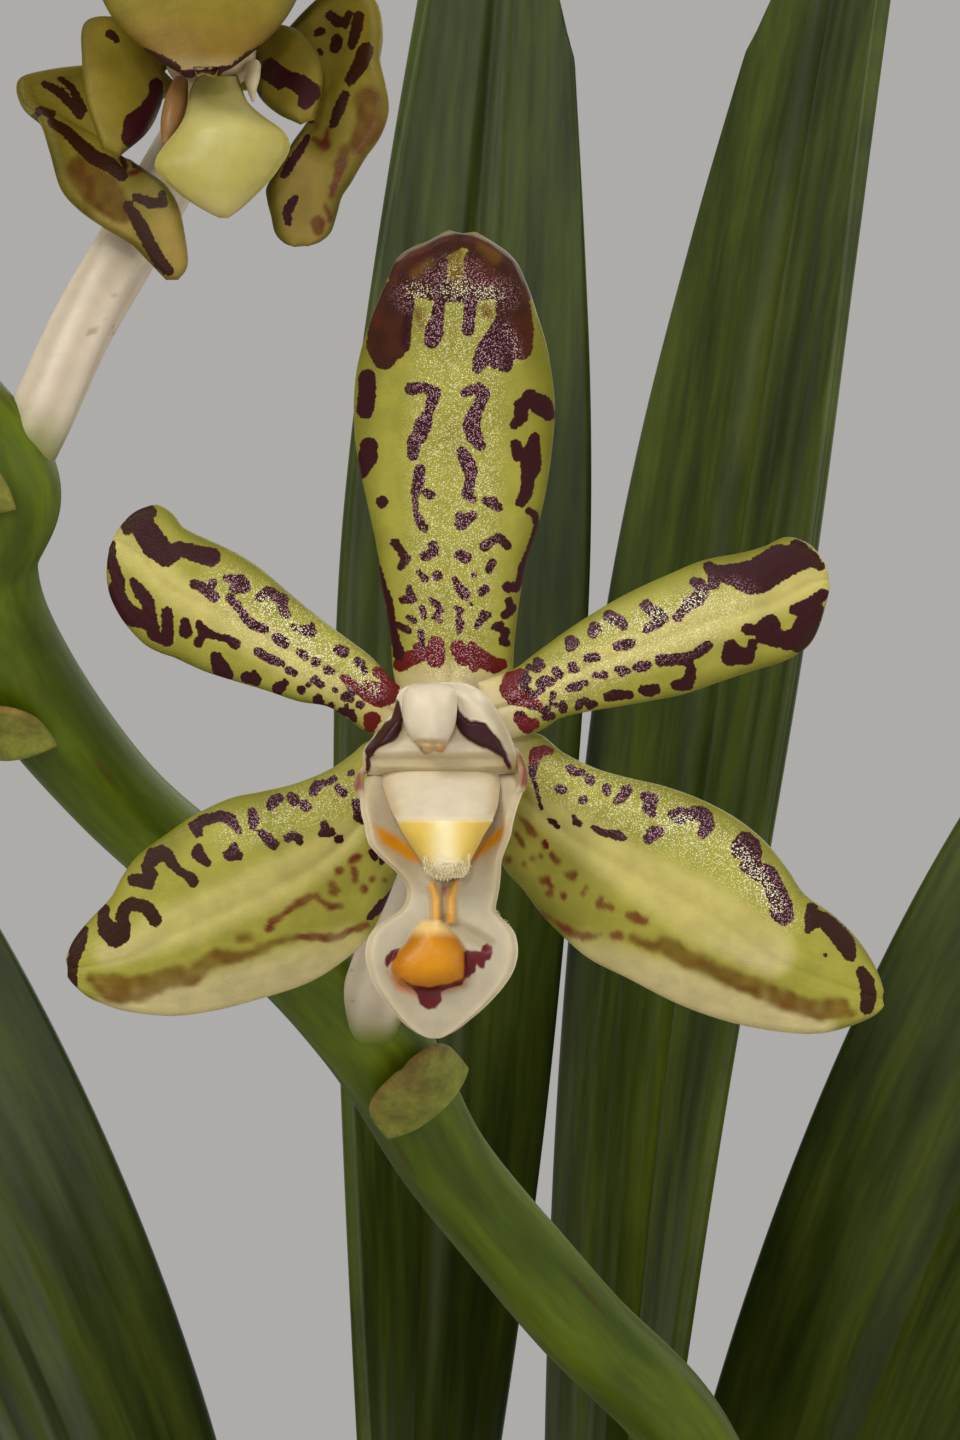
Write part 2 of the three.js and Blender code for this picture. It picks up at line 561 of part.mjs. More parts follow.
function tepal(shape, grow = 0) {
  return slab(tepalSurface(shape), shape.near.length, 4, TEPAL_THICKNESS, grow);
}

// One flower's pieces: sepals are cut clear of the petals, and everything of the column
function flower(parent, number, shapes, rings) {
  const part = (name) => `flower_${number}_${name}`;
  const column = (grow) => stack(rings.column, 'y', { grow });
  const petals = ['petal_left', 'petal_right'];
  for (const [name, shape] of Object.entries(shapes)) {
    const inFront = petals.includes(name) ? [] : petals.map((petal) => tepal(shapes[petal], GAP));
    add(parent, part(name), carve(tepal(shape), [column(GAP), ...inFront]), 'tepal');
  }
  const cap = (grow) => stack(rings.cap, 'y', { sides: 10, grow });
  add(parent, part('column'), carve(column(0), [cap(GAP)]), 'lip');
  add(parent, part('anther_cap'), cap(0), 'lip');
  add(parent, part('lip'), carve(stack(rings.lip, 'z'), [column(GAP)]), 'lip');
}

const OPEN_SHAPES = {
  dorsal_sepal: DORSAL_SEPAL,
  petal_left: PETAL_LEFT,
  petal_right: PETAL_RIGHT,
  lateral_sepal_left: LATERAL_SEPAL_LEFT,
  lateral_sepal_right: LATERAL_SEPAL_RIGHT,
};
const OPEN_RINGS = { column: COLUMN_RINGS, cap: CAP_RINGS, lip: LIP_RINGS };
const YOUNG_SHAPES = {
  dorsal_sepal: HOOD,
  petal_left: YOUNG_PETAL_LEFT,
  petal_right: YOUNG_PETAL_RIGHT,
  lateral_sepal_left: YOUNG_SEPAL_LEFT,
  lateral_sepal_right: YOUNG_SEPAL_RIGHT,
};
const YOUNG_RINGS = { column: YOUNG_COLUMN_RINGS, cap: YOUNG_CAP_RINGS, lip: YOUNG_LIP_RINGS };

function pedicel(points, grow = 0) {
  const radii = [1.1, 0.95, 1, 1, 1.05, 1.2].map((share) => share * PEDICEL_RADIUS);
  return limb(points.map(fromHeart), radii, { steps: 10, grow });
}

function bud({ knot, bend, tip, radius }, grow = 0) {
  const middle = bend.map((value, k) => mix(value, tip[k], 0.5));
  const radii = [0.34, 0.3, 1, 0.24].map((share) => share * radius);
  return limb([knot, bend, middle, tip].map(fromHeart), radii, { steps: 12, grow });
}

// A small pointed scale that clasps one side of the stalk at a knot
function bractSurface({ knot, lift, away }) {
  const line = smoothLine(STALK_POINTS.map(fromHeart));
  const t = knot / (STALK_POINTS.length - 1);
  const way = line.getTangent(t);
  const out = vector(away).projectOnPlane(way).normalize();
  const across = way.clone().cross(out);
  const clear = STALK_RADIUS + KNOT_SWELLING + GAP + 0.6 * BRACT_THICKNESS;
  return (u, v) => {
    const angle = BRACT_HALF_SPAN * (1 - BRACT_TAPER * u) * v;
    const reach = clear + BRACT_FLARE * u * u;
    return line.getPoint(t)
      .addScaledVector(way, lift + BRACT_LENGTH * u)
      .addScaledVector(out, reach * Math.cos(angle))
      .addScaledVector(across, reach * Math.sin(angle));
  };
}

// The whole plant

const rootSolids = ROOTS.map((points) => root(points, GAP));
add(plant, 'pot', pot(), 'terracotta');
add(plant, 'bark_medium', bark([stem(GAP), ...rootSolids]), 'bark');
add(plant, 'stem', stem(), 'stem');
ROOTS.forEach((points, i) => {
  add(plant, `aerial_root_${i + 1}`, carve(root(points), [stem(GAP)]), 'root');
});
add(plant, 'flower_stalk', carve(stalk(), [stem(GAP)]), 'stalk');
LEAVES.forEach((leaf, i) => {
  const inside = i + 2 < LEAVES.length ? [blade(i + 2, GAP)] : [];
  const near = [stem(GAP), stalk(GAP), ...rootSolids, ...inside];
  add(plant, `leaf_${i + 1}`, carve(blade(i), near), 'leaf');
});

const front = new THREE.Group();
front.position.set(...HEART);
plant.add(front);
flower(front, 1, OPEN_SHAPES, OPEN_RINGS);
flower(front, 2, YOUNG_SHAPES, YOUNG_RINGS);

const side = new THREE.Group();
side.position.set(...SIDE_HEART);
side.rotation.z = radians(SIDE_TURN);
front.add(side);
flower(side, 3, OPEN_SHAPES, OPEN_RINGS);

PEDICELS.forEach((points, i) => {
  add(plant, `flower_${i + 1}_pedicel`, carve(pedicel(points), [stalk(GAP)]), 'pedicel');
});
BUDS.forEach((shape, i) => {
  add(plant, `bud_${i + 1}`, carve(bud(shape), [stalk(GAP)]), 'tepal');
});
BRACTS.forEach((shape, i) => {
  const scale = slab(bractSurface(shape), 4, 4, BRACT_THICKNESS);
  const carried = [...PEDICELS.map((p) => pedicel(p, GAP)), ...BUDS.map((b) => bud(b, GAP))];
  add(plant, `bract_${i + 1}`, carve(scale, [stalk(GAP), ...carried]), 'bract');
});

export default plant;
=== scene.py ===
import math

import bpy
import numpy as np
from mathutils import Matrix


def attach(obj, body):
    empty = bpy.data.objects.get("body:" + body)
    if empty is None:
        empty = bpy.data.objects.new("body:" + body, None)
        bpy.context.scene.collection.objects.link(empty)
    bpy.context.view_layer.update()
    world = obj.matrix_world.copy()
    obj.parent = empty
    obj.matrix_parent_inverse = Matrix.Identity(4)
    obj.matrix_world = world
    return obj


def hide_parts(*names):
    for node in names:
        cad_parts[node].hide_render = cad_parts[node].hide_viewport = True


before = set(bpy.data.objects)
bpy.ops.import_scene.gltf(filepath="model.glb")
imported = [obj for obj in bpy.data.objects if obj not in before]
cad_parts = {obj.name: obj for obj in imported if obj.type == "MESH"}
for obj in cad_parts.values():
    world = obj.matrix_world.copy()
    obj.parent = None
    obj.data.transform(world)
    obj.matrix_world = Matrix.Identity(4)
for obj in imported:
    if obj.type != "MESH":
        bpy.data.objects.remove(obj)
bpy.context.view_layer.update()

# A potted Trichoglottis loheriana. Shapes are worked out in millimetres in the frame's axes, and
# the pieces are made in metres. The flowers face -Y. A flower's shapes are given from its heart,
# its middle, and those that the photograph shows are traced in the photograph's pixels.

MM = 0.001

# How the photograph sees the main flower: the camera looks along +Y from CAMERA_DISTANCE in front
# of the flower's heart, and the picture's middle is PHOTO_MIDDLE.
HEART = np.array([10.0, -75.0, 290.0])
CAMERA_DISTANCE = 300.0
PHOTO_SIZE = (960, 1440)
PHOTO_MIDDLE = (480, 720)
PHOTO_SCALE = 0.0432             # mm to a pixel at the heart's depth
MIDDLE_SHIFT = 1.5               # the picture's middle lies this far right of the heart, in mm
SENSOR = 36.0


def from_photo(px, py, depth):
    """Places as seen from the heart, in mm, of pixels of the photograph at the given depths."""
    grow = PHOTO_SCALE * (CAMERA_DISTANCE + depth) / CAMERA_DISTANCE
    return np.stack([(px - PHOTO_MIDDLE[0]) * grow + MIDDLE_SHIFT, depth + 0 * px,
                     (PHOTO_MIDDLE[1] - py) * grow], axis=-1)


def to_photo(places):
    """The photograph's pixels that places seen from the heart fall on."""
    grow = PHOTO_SCALE * (CAMERA_DISTANCE + places[..., 1]) / CAMERA_DISTANCE
    return (PHOTO_MIDDLE[0] + (places[..., 0] - MIDDLE_SHIFT) / grow,
            PHOTO_MIDDLE[1] - places[..., 2] / grow)


# Camera, lights and floor, in metres and watts

CLIP_START = 0.01
WORLD_COLOUR = (1.0, 0.985, 0.955, 1)
WORLD_STRENGTH = 0.42
FLOWERS_AT = (0.01, -0.07, 0.26)
LIGHTS = [  # name, place, target, size and power
    ("key", (-0.5, -0.75, 0.95), FLOWERS_AT, 0.5, 7),
    ("fill", (0.75, -0.5, 0.5), FLOWERS_AT, 0.8, 2.4),
    ("back", (0.6, 0.95, 0.9), (0, 0, 0.2), 0.9, 5),
    ("sparkle", (-0.02, -0.5, 0.42), (0.01, -0.07, 0.29), 0.05, 0.35)]
FLOOR_RADIUS = 2.0
FLOOR_SIDES = 96
FLOOR_LEVELS = (-0.01, -0.0002)  # its underside, and its top just under the pot


def add_camera():
    data = bpy.data.cameras.new("camera")
    data.sensor_width = SENSOR
    data.lens = SENSOR * CAMERA_DISTANCE / (PHOTO_SIZE[1] * PHOTO_SCALE)
    data.clip_start = CLIP_START
    camera = bpy.data.objects.new("camera", data)
    camera.location = (HEART + [MIDDLE_SHIFT, -CAMERA_DISTANCE, 0]) * MM
    camera.rotation_euler = (math.radians(90), 0, 0)
    bpy.context.collection.objects.link(camera)
    bpy.context.scene.camera = camera


def add_light(name, place, target, size, power):
    data = bpy.data.lights.new(name, "AREA")
    data.shape = "DISK"
    data.size = size
    data.energy = power
    lamp = bpy.data.objects.new(name, data)
    way = np.array(target) - np.array(place)
    lamp.location = place
    lamp.rotation_euler = (math.atan2(math.hypot(way[0], way[1]), -way[2]), 0,
                           math.atan2(-way[0], way[1]))
    bpy.context.collection.objects.link(lamp)


def add_world():
    """An even light from all sides."""
    world = bpy.data.worlds.new("studio")
    world.use_nodes = True
    sky = world.node_tree.nodes["Background"]
    sky.inputs["Color"].default_value = WORLD_COLOUR
    sky.inputs["Strength"].default_value = WORLD_STRENGTH
    bpy.context.scene.world = world


# Small tools

FINENESS = 40                    # steps of a smooth line for each of its points
FAR_OUTSIDE = -60.0              # how deep inside a mark a place is that lies nowhere near one


def linear(*rgb):
    """A colour picked as screen values from 0 to 255, as the linear one that Blender works in."""
    c = np.array(rgb, float) / 255
    return np.where(c <= 0.04045, c / 12.92, ((c + 0.055) / 1.055) ** 2.4)


def ease(x, low, high):
    """0 up to low, 1 from high on, and a smooth rise between them."""
    t = np.clip((np.asarray(x, float) - low) / (high - low), 0, 1)
    return t * t * (3 - 2 * t)


def mix(a, b, share):
    """a where share is 0, and b where it is 1."""
    return a + (b - a) * share


def wash(base, colour, share):
    """Colours moved toward another one, by a share for each place."""
    return mix(base, np.asarray(colour), np.asarray(share)[..., None])


def flat(px, py):
    """Pixels of the photograph as places in a plane, to read noise at."""
    return np.stack([px, py + 0 * px, 0 * px], axis=-1)


def read(values, at):
    """Values given at evenly spaced places from 0 to 1, read smoothly at others."""
    return spline(np.asarray(values, float)[:, None], at)[..., 0]


def spline(points, at):
    """Places on a smooth line through the given points, at shares from 0 to 1 of their number."""
    p = np.asarray(points, float)
    p = np.vstack([2 * p[0] - p[1], p, 2 * p[-1] - p[-2]])
    last = len(p) - 3
    at = np.clip(np.asarray(at, float), 0, 1) * last
    i = np.minimum(at.astype(int), last - 1)
    f = (at - i)[..., None]
    a, b, c, d = p[i], p[i + 1], p[i + 2], p[i + 3]
    return 0.5 * (2 * b + (c - a) * f + (2 * a - 5 * b + 4 * c - d) * f ** 2
                  + (3 * b - a - 3 * c + d) * f ** 3)


def evenly(points, at):
    """Places on a smooth line through the given points, at shares from 0 to 1 of its length."""
    fine = spline(points, np.linspace(0, 1, FINENESS * len(points)))
    length = np.concatenate([[0], np.cumsum(np.linalg.norm(np.diff(fine, axis=0), axis=1))])
    length /= length[-1]
    return np.stack([np.interp(at, length, fine[:, k]) for k in range(fine.shape[1])], axis=-1)


def unit(v):
    return v / np.maximum(np.linalg.norm(v, axis=-1, keepdims=True), 1e-12)


def scramble(x, y, z, seed):
    """A fixed number from 0 to 1 for each whole-number place."""
    h = (x * 374761393 + y * 668265263 + z * 2147483647 + seed * 974711) & 0xFFFFFFFF
    h = ((h ^ (h >> 13)) * 1274126177) & 0xFFFFFFFF
    return ((h ^ (h >> 16)) & 0xFFFF) / 65535.0


def noise(places, size, seed=0):
    """Smooth waves from -1 to 1 over space, each about the given size."""
    p = np.asarray(places, float) / size + 1000.0
    low = np.floor(p).astype(np.int64)
    f = p - low
    f = f * f * (3 - 2 * f)
    total = 0.0
    for dx in (0, 1):
        for dy in (0, 1):
            for dz in (0, 1):
                weight = ((f[..., 0] if dx else 1 - f[..., 0])
                          * (f[..., 1] if dy else 1 - f[..., 1])
                          * (f[..., 2] if dz else 1 - f[..., 2]))
                total = total + weight * scramble(low[..., 0] + dx, low[..., 1] + dy,
                                                  low[..., 2] + dz, seed)
    return 2 * total - 1


def nearest(px, py, start, end):
    """The share of a line at which it passes nearest each place, and how far away it passes."""
    (x0, y0), (x1, y1) = start, end
    length = max((x1 - x0) ** 2 + (y1 - y0) ** 2, 1e-6)
    t = np.clip(((px - x0) * (x1 - x0) + (py - y0) * (y1 - y0)) / length, 0, 1)
    return t, np.hypot(px - x0 - t * (x1 - x0), py - y0 - t * (y1 - y0))


def inside_strokes(px, py, strokes):
    """How far each place is inside the nearest stroke, a line of (x, y, radius) or one such dot:
    below 0 outside."""
    best = np.full(np.shape(px), FAR_OUTSIDE)
    for stroke in strokes:
        stroke = [stroke] if isinstance(stroke, tuple) else stroke
        for (*start, r0), (*end, r1) in zip(stroke, stroke[1:] or stroke):
            t, away = nearest(px, py, start, end)
            best = np.maximum(best, r0 + (r1 - r0) * t - away)
    return best


def inside_shape(px, py, corners):
    """How far each place is inside a closed outline: below 0 outside."""
    away = np.full(np.shape(px), 1e9)
    inside = np.zeros(np.shape(px), bool)
    for (x0, y0), (x1, y1) in zip(corners, corners[1:] + corners[:1]):
        away = np.minimum(away, nearest(px, py, (x0, y0), (x1, y1))[1])
        edge = (x1 - x0) * (py - y0) / ((y1 - y0) or 1e-9) + x0
        inside ^= ((y0 > py) != (y1 > py)) & (px < edge)
    return np.where(inside, away, -away)


def inside_shapes(px, py, shapes):
    """How far each place is inside the nearest of several outlines."""
    best = np.full(px.shape, FAR_OUTSIDE)
    for shape in shapes:
        best = np.maximum(best, inside_shape(px, py, shape))
    return best


# Meshes: every one is closed, and may carry values for its material at its vertices

def make_piece(name, places, faces, material, nodes, values=None):
    """A smooth mesh piece of places in mm that stands for CAD nodes and rides on the root."""
    mesh = bpy.data.meshes.new(name)
    mesh.from_pydata((places * MM).tolist(), [], faces)
    mesh.polygons.foreach_set("use_smooth", [True] * len(mesh.polygons))
    for key, array in (values or {}).items():
        array = np.asarray(array, float)
        if array.ndim == 1:
            mesh.attributes.new(key, "FLOAT", "POINT").data.foreach_set("value", array)
        else:
            rgba = np.column_stack([array, np.ones(len(array))]).ravel()
            mesh.attributes.new(key, "FLOAT_COLOR", "POINT").data.foreach_set("color", rgba)
    mesh.materials.append(material)
    mesh.update()
    piece = bpy.data.objects.new(name, mesh)
    bpy.context.collection.objects.link(piece)
    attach(piece, "root")
    if nodes:
        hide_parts(*nodes)
    return piece


def signed_volume(places, faces):
    """Above 0 for a closed mesh about the origin whose faces look outward."""
    quads = np.array([f if len(f) == 4 else (f[0], f[1], f[2], f[2]) for f in faces])
    a, b, c, d = (places[quads[:, k]] for k in range(4))
    return (np.einsum("ij,ij->", a, np.cross(b, c)) + np.einsum("ij,ij->", a, np.cross(c, d)))


def turned_out(places, faces):
    """The faces of a closed mesh, turned so that they look outward."""
    if signed_volume(places - places.mean(axis=0), faces) > 0:
        return faces
    return [face[::-1] for face in faces]


def ring_faces(rows, sides, first=0):
    """Faces between closed rings of places, with a pole before the first and after the last."""
    r = np.arange(rows - 1)[:, None] * sides + first
    k = np.arange(sides)[None, :]
    n = (k + 1) % sides
    quads = np.stack([r + k, r + n, r + sides + n, r + sides + k], axis=-1).reshape(-1, 4).tolist()
    start, end = first + rows * sides, first + rows * sides + 1
    last = first + (rows - 1) * sides
    for i in range(sides):
        quads.append([start, first + (i + 1) % sides, first + i])
        quads.append([end, last + i, last + (i + 1) % sides])
    return quads


def close_rings(rings, start=None, end=None):
    """Places and faces of a closed mesh over rings, an array of (rows, sides, 3)."""
    rows, sides, _ = rings.shape
    start = rings[0].mean(axis=0) if start is None else start
    end = rings[-1].mean(axis=0) if end is None else end
    places = np.vstack([rings.reshape(-1, 3), start[None], end[None]])
    return places, turned_out(places, ring_faces(rows, sides))


def with_poles(values):
    """Values given for each ring and side, with those of the two poles added at the end."""
    listed = values.reshape(-1, *values.shape[2:])
    return np.concatenate([listed, values[:1].mean(axis=1), values[-1:].mean(axis=1)])


def join_meshes(parts):
    """One set of places, faces and vertex values from several."""
    places, faces, values, count = [], [], {}, 0
    for part_places, part_faces, part_values in parts:
        places.append(part_places)
        faces += [[i + count for i in face] for face in part_faces]
        for key, array in part_values.items():
            values.setdefault(key, []).append(array)
        count += len(part_places)
    return np.vstack(places), faces, {key: np.concatenate(all_) for key, all_ in values.items()}


def frames_along(points):
    """Directions of a line of points, and two more across it that turn as little as they can."""
    way = unit(np.gradient(points, axis=0))
    side = np.zeros_like(way)
    side[0] = unit(np.cross(way[0], [0.3, 0.9, 0.2]))        # no line starts along this direction
    for i in range(1, len(way)):
        side[i] = unit(side[i - 1] - way[i] * np.dot(side[i - 1], way[i]))
    return way, side, np.cross(way, side)


def tube(points, radius, rows, sides, relief=None):
    """A round-ended tube along a smooth line. radius is read along it, and relief(share, angle,
    place) adds to it. Returns places, faces and, for each vertex, its share and angle."""
    share = np.linspace(0, 1, rows)
    line = spline(points, share)
    way, side, other = frames_along(line)
    angle = np.arange(sides) * 2 * math.pi / sides
    r = read(radius, share)[:, None] + np.zeros((1, sides))
    around = (side[:, None] * np.cos(angle)[None, :, None]
              + other[:, None] * np.sin(angle)[None, :, None])
    if relief is not None:
        r = r + relief(share[:, None], angle[None, :], line[:, None] + around * r[..., None])
    rings = line[:, None] + around * r[..., None]
    caps = []
    for end, sign in ((0, -1), (-1, 1)):
        size = r[end].mean()
        for tilt in (75, 50, 25):
            t = math.radians(tilt)
            caps.append(line[end] + way[end] * sign * size * math.cos(t)
                        + around[end] * (r[end] * math.sin(t))[:, None])
    rings = np.concatenate([np.stack(caps[:3][::-1]), rings, np.stack(caps[3:])])
    shares = np.concatenate([np.zeros(3), share, np.ones(3)])
    places, faces = close_rings(rings, line[0] - way[0] * r[0].mean(),
                                line[-1] + way[-1] * r[-1].mean())
    shares = with_poles(np.repeat(shares[:, None], sides, axis=1))
    angles = with_poles(np.repeat(angle[None], len(rings), axis=0))
    return places, faces, shares, angles


def cone_tuft(roots, ways, lengths, width):
    """Small pointed hairs with three sides, from roots on the surface."""
    places, faces = [], []
    for i, (root, way, length) in enumerate(zip(roots, ways, lengths)):
        way = unit(way)
        a = unit(np.cross(way, [0.31, 0.2, 0.93]))
        b = np.cross(way, a)
        spokes = [a * math.cos(t) + b * math.sin(t) for t in (0, 2.1, 4.2)]
        places += [root + width * spoke for spoke in spokes]
        places += [root + way * length * 0.6 + 0.7 * width * spoke for spoke in spokes]
        places.append(root + way * length)
        n = 7 * i
        faces += [[n, n + 1, n + 4, n + 3], [n + 1, n + 2, n + 5, n + 4], [n + 2, n, n + 3, n + 5],
                  [n + 3, n + 4, n + 6], [n + 4, n + 5, n + 6], [n + 5, n + 3, n + 6],
                  [n, n + 2, n + 1]]
    return np.array(places), faces


# Materials, all made of nodes

MIX_INPUTS = (0, 6, 7)           # a colour Mix node's sockets for the share and the two colours
MIX_OUTPUT = 2
CELL_SIZE = 0.052                # mm, of the domed cells that glitter
RAGGED = 0.2                     # mm that the edge of a mark wanders


class Look:
    """A material of nodes on one Principled shader."""

    def __init__(self, name, roughness, **fixed):
        self.material = bpy.data.materials.new(name)
        self.material.use_nodes = True
        self.tree = self.material.node_tree
        self.shader = self.tree.nodes["Principled BSDF"]
        self.shader.inputs["Roughness"].default_value = roughness
        for key, value in fixed.items():
            self.shader.inputs[key.replace("_", " ")].default_value = value
        self.place = self.tree.nodes.new("ShaderNodeTexCoord").outputs["Object"]

    def node(self, kind, settings=None, **inputs):
        made = self.tree.nodes.new("ShaderNode" + kind)
        for key, value in (settings or {}).items():
            setattr(made, key, value)
        for key, value in inputs.items():
            self.feed(made.inputs[key.replace("_", " ")], value)
        return made

    def feed(self, socket, value):
        if isinstance(value, bpy.types.NodeSocket):
            self.tree.links.new(value, socket)
        elif getattr(socket, "type", "") == "RGBA" and len(value) == 3:
            socket.default_value = (*value, 1)
        else:
            socket.default_value = value

    def value(self, key):
        return self.node("Attribute", {"attribute_name": key}).outputs["Fac"]

    def colour(self, key):
        return self.node("Attribute", {"attribute_name": key}).outputs["Color"]

    def math(self, operation, *numbers):
        made = self.node("Math", {"operation": operation})
        for socket, number in zip(made.inputs, numbers):
            self.feed(socket, number)
        return made.outputs[0]

    def blend(self, share, a, b, mode="MIX"):
        made = self.node("Mix", {"data_type": "RGBA", "blend_type": mode})
        for socket, part in zip(MIX_INPUTS, (share, a, b)):
            self.feed(made.inputs[socket], part)
        return made.outputs[MIX_OUTPUT]

    def shaded(self, colour, shade):
        """The colour made lighter or darker by a number."""
        grey = self.node("CombineColor", Red=shade, Green=shade, Blue=shade).outputs[0]
        return self.blend(1.0, colour, grey, "MULTIPLY")

    def step(self, value, low, high, start=0.0, end=1.0):
        made = self.node("MapRange", {"interpolation_type": "SMOOTHSTEP"})
        for socket, number in zip(made.inputs[:5], (value, low, high, start, end)):
            self.feed(socket, number)
        return made.outputs[0]

    def waves(self, size, detail):
        """Noise with features of a size in mm."""
        return self.node("TexNoise", Vector=self.place, Scale=1 / (size * MM), Detail=detail,
                         Roughness=0.55).outputs["Fac"]

    def mottle(self, size, detail, start=0.0, end=1.0, low=0.3, high=0.7):
        """Such noise, spread out to run from start to end."""
        return self.step(self.waves(size, detail), low, high, start, end)

    def speckled(self, colour, size, detail, dark, light):
        """The colour made darker and lighter in patches of a size in mm."""
        return self.shaded(colour, self.mottle(size, detail, dark, light))

    def cells(self, size):
        return self.node("TexVoronoi", Vector=self.place, Scale=1 / (size * MM))

    def paint(self, colour):
        self.feed(self.shader.inputs["Base Color"], colour)

    def shine(self, roughness):
        self.feed(self.shader.inputs["Roughness"], roughness)

    def bump(self, height, depth, strength=1.0):
        """Adds bumps: depth is how far apart, in mm, height 0 and height 1 lie."""
        made = self.node("Bump", Height=height, Distance=depth * MM, Strength=strength)
        under = self.shader.inputs["Normal"]
        if under.links:
            self.tree.links.new(under.links[0].from_socket, made.inputs["Normal"])
        self.tree.links.new(made.outputs[0], under)


def flesh(name, roughness, sparkle, soft):
    """Petal flesh: base and mark colours from the vertices, ragged marks, and a skin of tiny domed
    cells, with painted glitter highlights: pale specks painted into the colour where the vertices
    say so."""
    look = Look(name, roughness, Subsurface_Weight=soft, Subsurface_Scale=0.0004,
                Subsurface_Radius=(1.0, 0.75, 0.35), Specular_IOR_Level=0.16)
    base = look.speckled(look.colour("base"), 1.1, 4, 0.9, 1.08)
    edge = look.math("MULTIPLY_ADD", look.math("SUBTRACT", look.waves(0.16, 2), 0.5), RAGGED,
                     look.value("mark"))
    inked = look.step(edge, -0.065, -0.015)
    colour = look.blend(inked, base, look.colour("tint"))
    cells = look.cells(CELL_SIZE)
    lot = look.node("SeparateColor", Color=cells.outputs["Color"]).outputs[0]
    dots = look.step(cells.outputs["Distance"], 0.3, 0.62, 1.0, 0.0)
    # painted highlight: pale specks of glitter laid into the colour where the glint value is high
    glint = look.math("MULTIPLY", look.value("glint"), look.step(lot, 0.4, 0.9))
    glint = look.math("MULTIPLY", look.math("MULTIPLY", glint, dots), sparkle)
    # colours of the painted highlight: pinkish over marks, near white where it is strongest
    bright = look.blend(inked, linear(244, 238, 190), linear(226, 176, 190))
    bright = look.blend(look.step(look.value("glint"), 1.0, 2.2), bright, linear(250, 240, 206))
    look.paint(look.blend(glint, colour, bright))
    look.bump(look.step(cells.outputs["Distance"], 0.0, 0.75, 1.0, 0.0), 0.02, 0.55)
    return look.material


def plain_flesh(name, roughness, soft):
    """Smooth waxy flesh with colours from the vertices."""
    look = Look(name, roughness, Subsurface_Weight=soft, Subsurface_Scale=0.0015,
                Subsurface_Radius=(1.0, 0.8, 0.55), Specular_IOR_Level=0.22)
    edge = look.math("MULTIPLY_ADD", look.math("SUBTRACT", look.waves(0.3, 3), 0.5), 0.16,
                     look.value("mark"))
    colour = look.blend(look.step(edge, -0.05, 0.06), look.colour("base"), look.colour("tint"))
    look.paint(look.speckled(colour, 0.8, 4, 0.95, 1.04))
    cells = look.cells(0.07)
    look.bump(look.step(cells.outputs["Distance"], 0.0, 0.7, 1.0, 0.0), 0.008, 0.5)
    return look.material


def green_skin(name, dark, light, roughness, spots=0.0, coat=0.0):
    """Smooth plant skin with fine streaks along the grain coordinates of its vertices, which also
    darken or brown it through base."""
    look = Look(name, roughness, Specular_IOR_Level=0.2, Subsurface_Weight=0.06,
                Subsurface_Scale=0.001, Subsurface_Radius=(0.6, 1.0, 0.3), Coat_Weight=coat,
                Coat_Roughness=0.3)
    look.place = look.node("Attribute", {"attribute_name": "grain"}).outputs["Vector"]
    shade = look.blend(look.mottle(2.2, 5, low=0.32, high=0.68), linear(*dark), linear(*light))
    shade = look.shaded(shade, look.mottle(0.5, 3, 0.88, 1.1, 0.35, 0.65))
    shade = look.blend(1.0, shade, look.colour("base"), "MULTIPLY")
    if spots:
        dots = look.step(look.cells(1.4).outputs["Distance"], 0.08, 0.2, spots, 0.0)
        shade = look.blend(dots, shade, linear(70, 40, 14))
    look.paint(shade)
    look.shine(look.mottle(4, 3, roughness - 0.06, roughness + 0.1))
    look.bump(look.waves(0.45, 3), 0.03, 0.5)
    return look.material


def dry_skin(name, grain, roughness, bump):
    """Matt surface of roots, bark and dry scales: base from the vertices, mottled and rough."""
    look = Look(name, roughness, Specular_IOR_Level=0.3)
    shade = look.speckled(look.colour("base"), grain, 6, 0.7, 1.25)
    look.paint(look.speckled(shade, grain / 5, 3, 0.88, 1.1))
    look.bump(look.waves(grain / 2, 6), bump, 0.8)
    return look.material


def terracotta():
    """Fired clay: mottled, darker where it stays damp, with a pale bloom of lime."""
    look = Look("terracotta", 0.85, Specular_IOR_Level=0.35)
    clay = look.blend(look.mottle(9, 5), linear(168, 92, 60), linear(198, 122, 86))
    clay = look.speckled(clay, 0.7, 4, 0.9, 1.08)
    damp = look.math("MULTIPLY", look.value("damp"), look.mottle(16, 4, 0.3, 0.75, high=0.6))
    clay = look.blend(damp, clay, linear(118, 62, 42))
    bloom = look.mottle(19, 6, 0.0, 0.3, 0.52, 0.8)
    look.paint(look.blend(bloom, clay, linear(214, 192, 170)))
    look.shine(look.step(damp, 0.0, 1.0, 0.88, 0.6))
    look.bump(look.waves(0.5, 3), 0.08, 0.7)
    return look.material


def floor_paint():
    look = Look("floor_paint", 0.6, Specular_IOR_Level=0.3)
    look.paint(look.speckled((0.71, 0.70, 0.68), 60, 4, 0.97, 1.02))
    look.bump(look.waves(2, 3), 0.05, 0.2)
    return look.material


# Tepals: each is a thin closed sheet between two edges traced on the photograph, from the base to
# the tip. depth is the y of its middle line, and curl how much further back each edge lies.

TEPAL_THICKNESS = 0.7
SEPAL_DEPTH = [1.5, 1.3, 0.9, 0.5, 0.2, 0.2, 0.5, 0.9, 1.1]
SEPAL_CURL = ([0, 0.2, 0.3, 0.4, 0.4, 0.4, 0.3, 0.2, 0], [0.2, 0.6, 1.2, 1.8, 2, 1.8, 1.3, 0.5,
                                                          0.1])
PETAL_DEPTH = [0.2, 0, -0.3, -0.5, -0.7, -0.8, -0.7, -0.5, -0.4]
PETAL_CURL = ([0.2, 0.4, 0.6, 0.7, 0.7, 0.6, 0.4, 0.2, 0], [0.2, 0.4, 0.6, 0.7, 0.8, 0.8, 0.5,
                                                            0.2, 0])
DORSAL_CURL = [0.3, 0.4, 0.5, 0.5, 0.3, -0.3, -0.9, -0.5, -0.1]

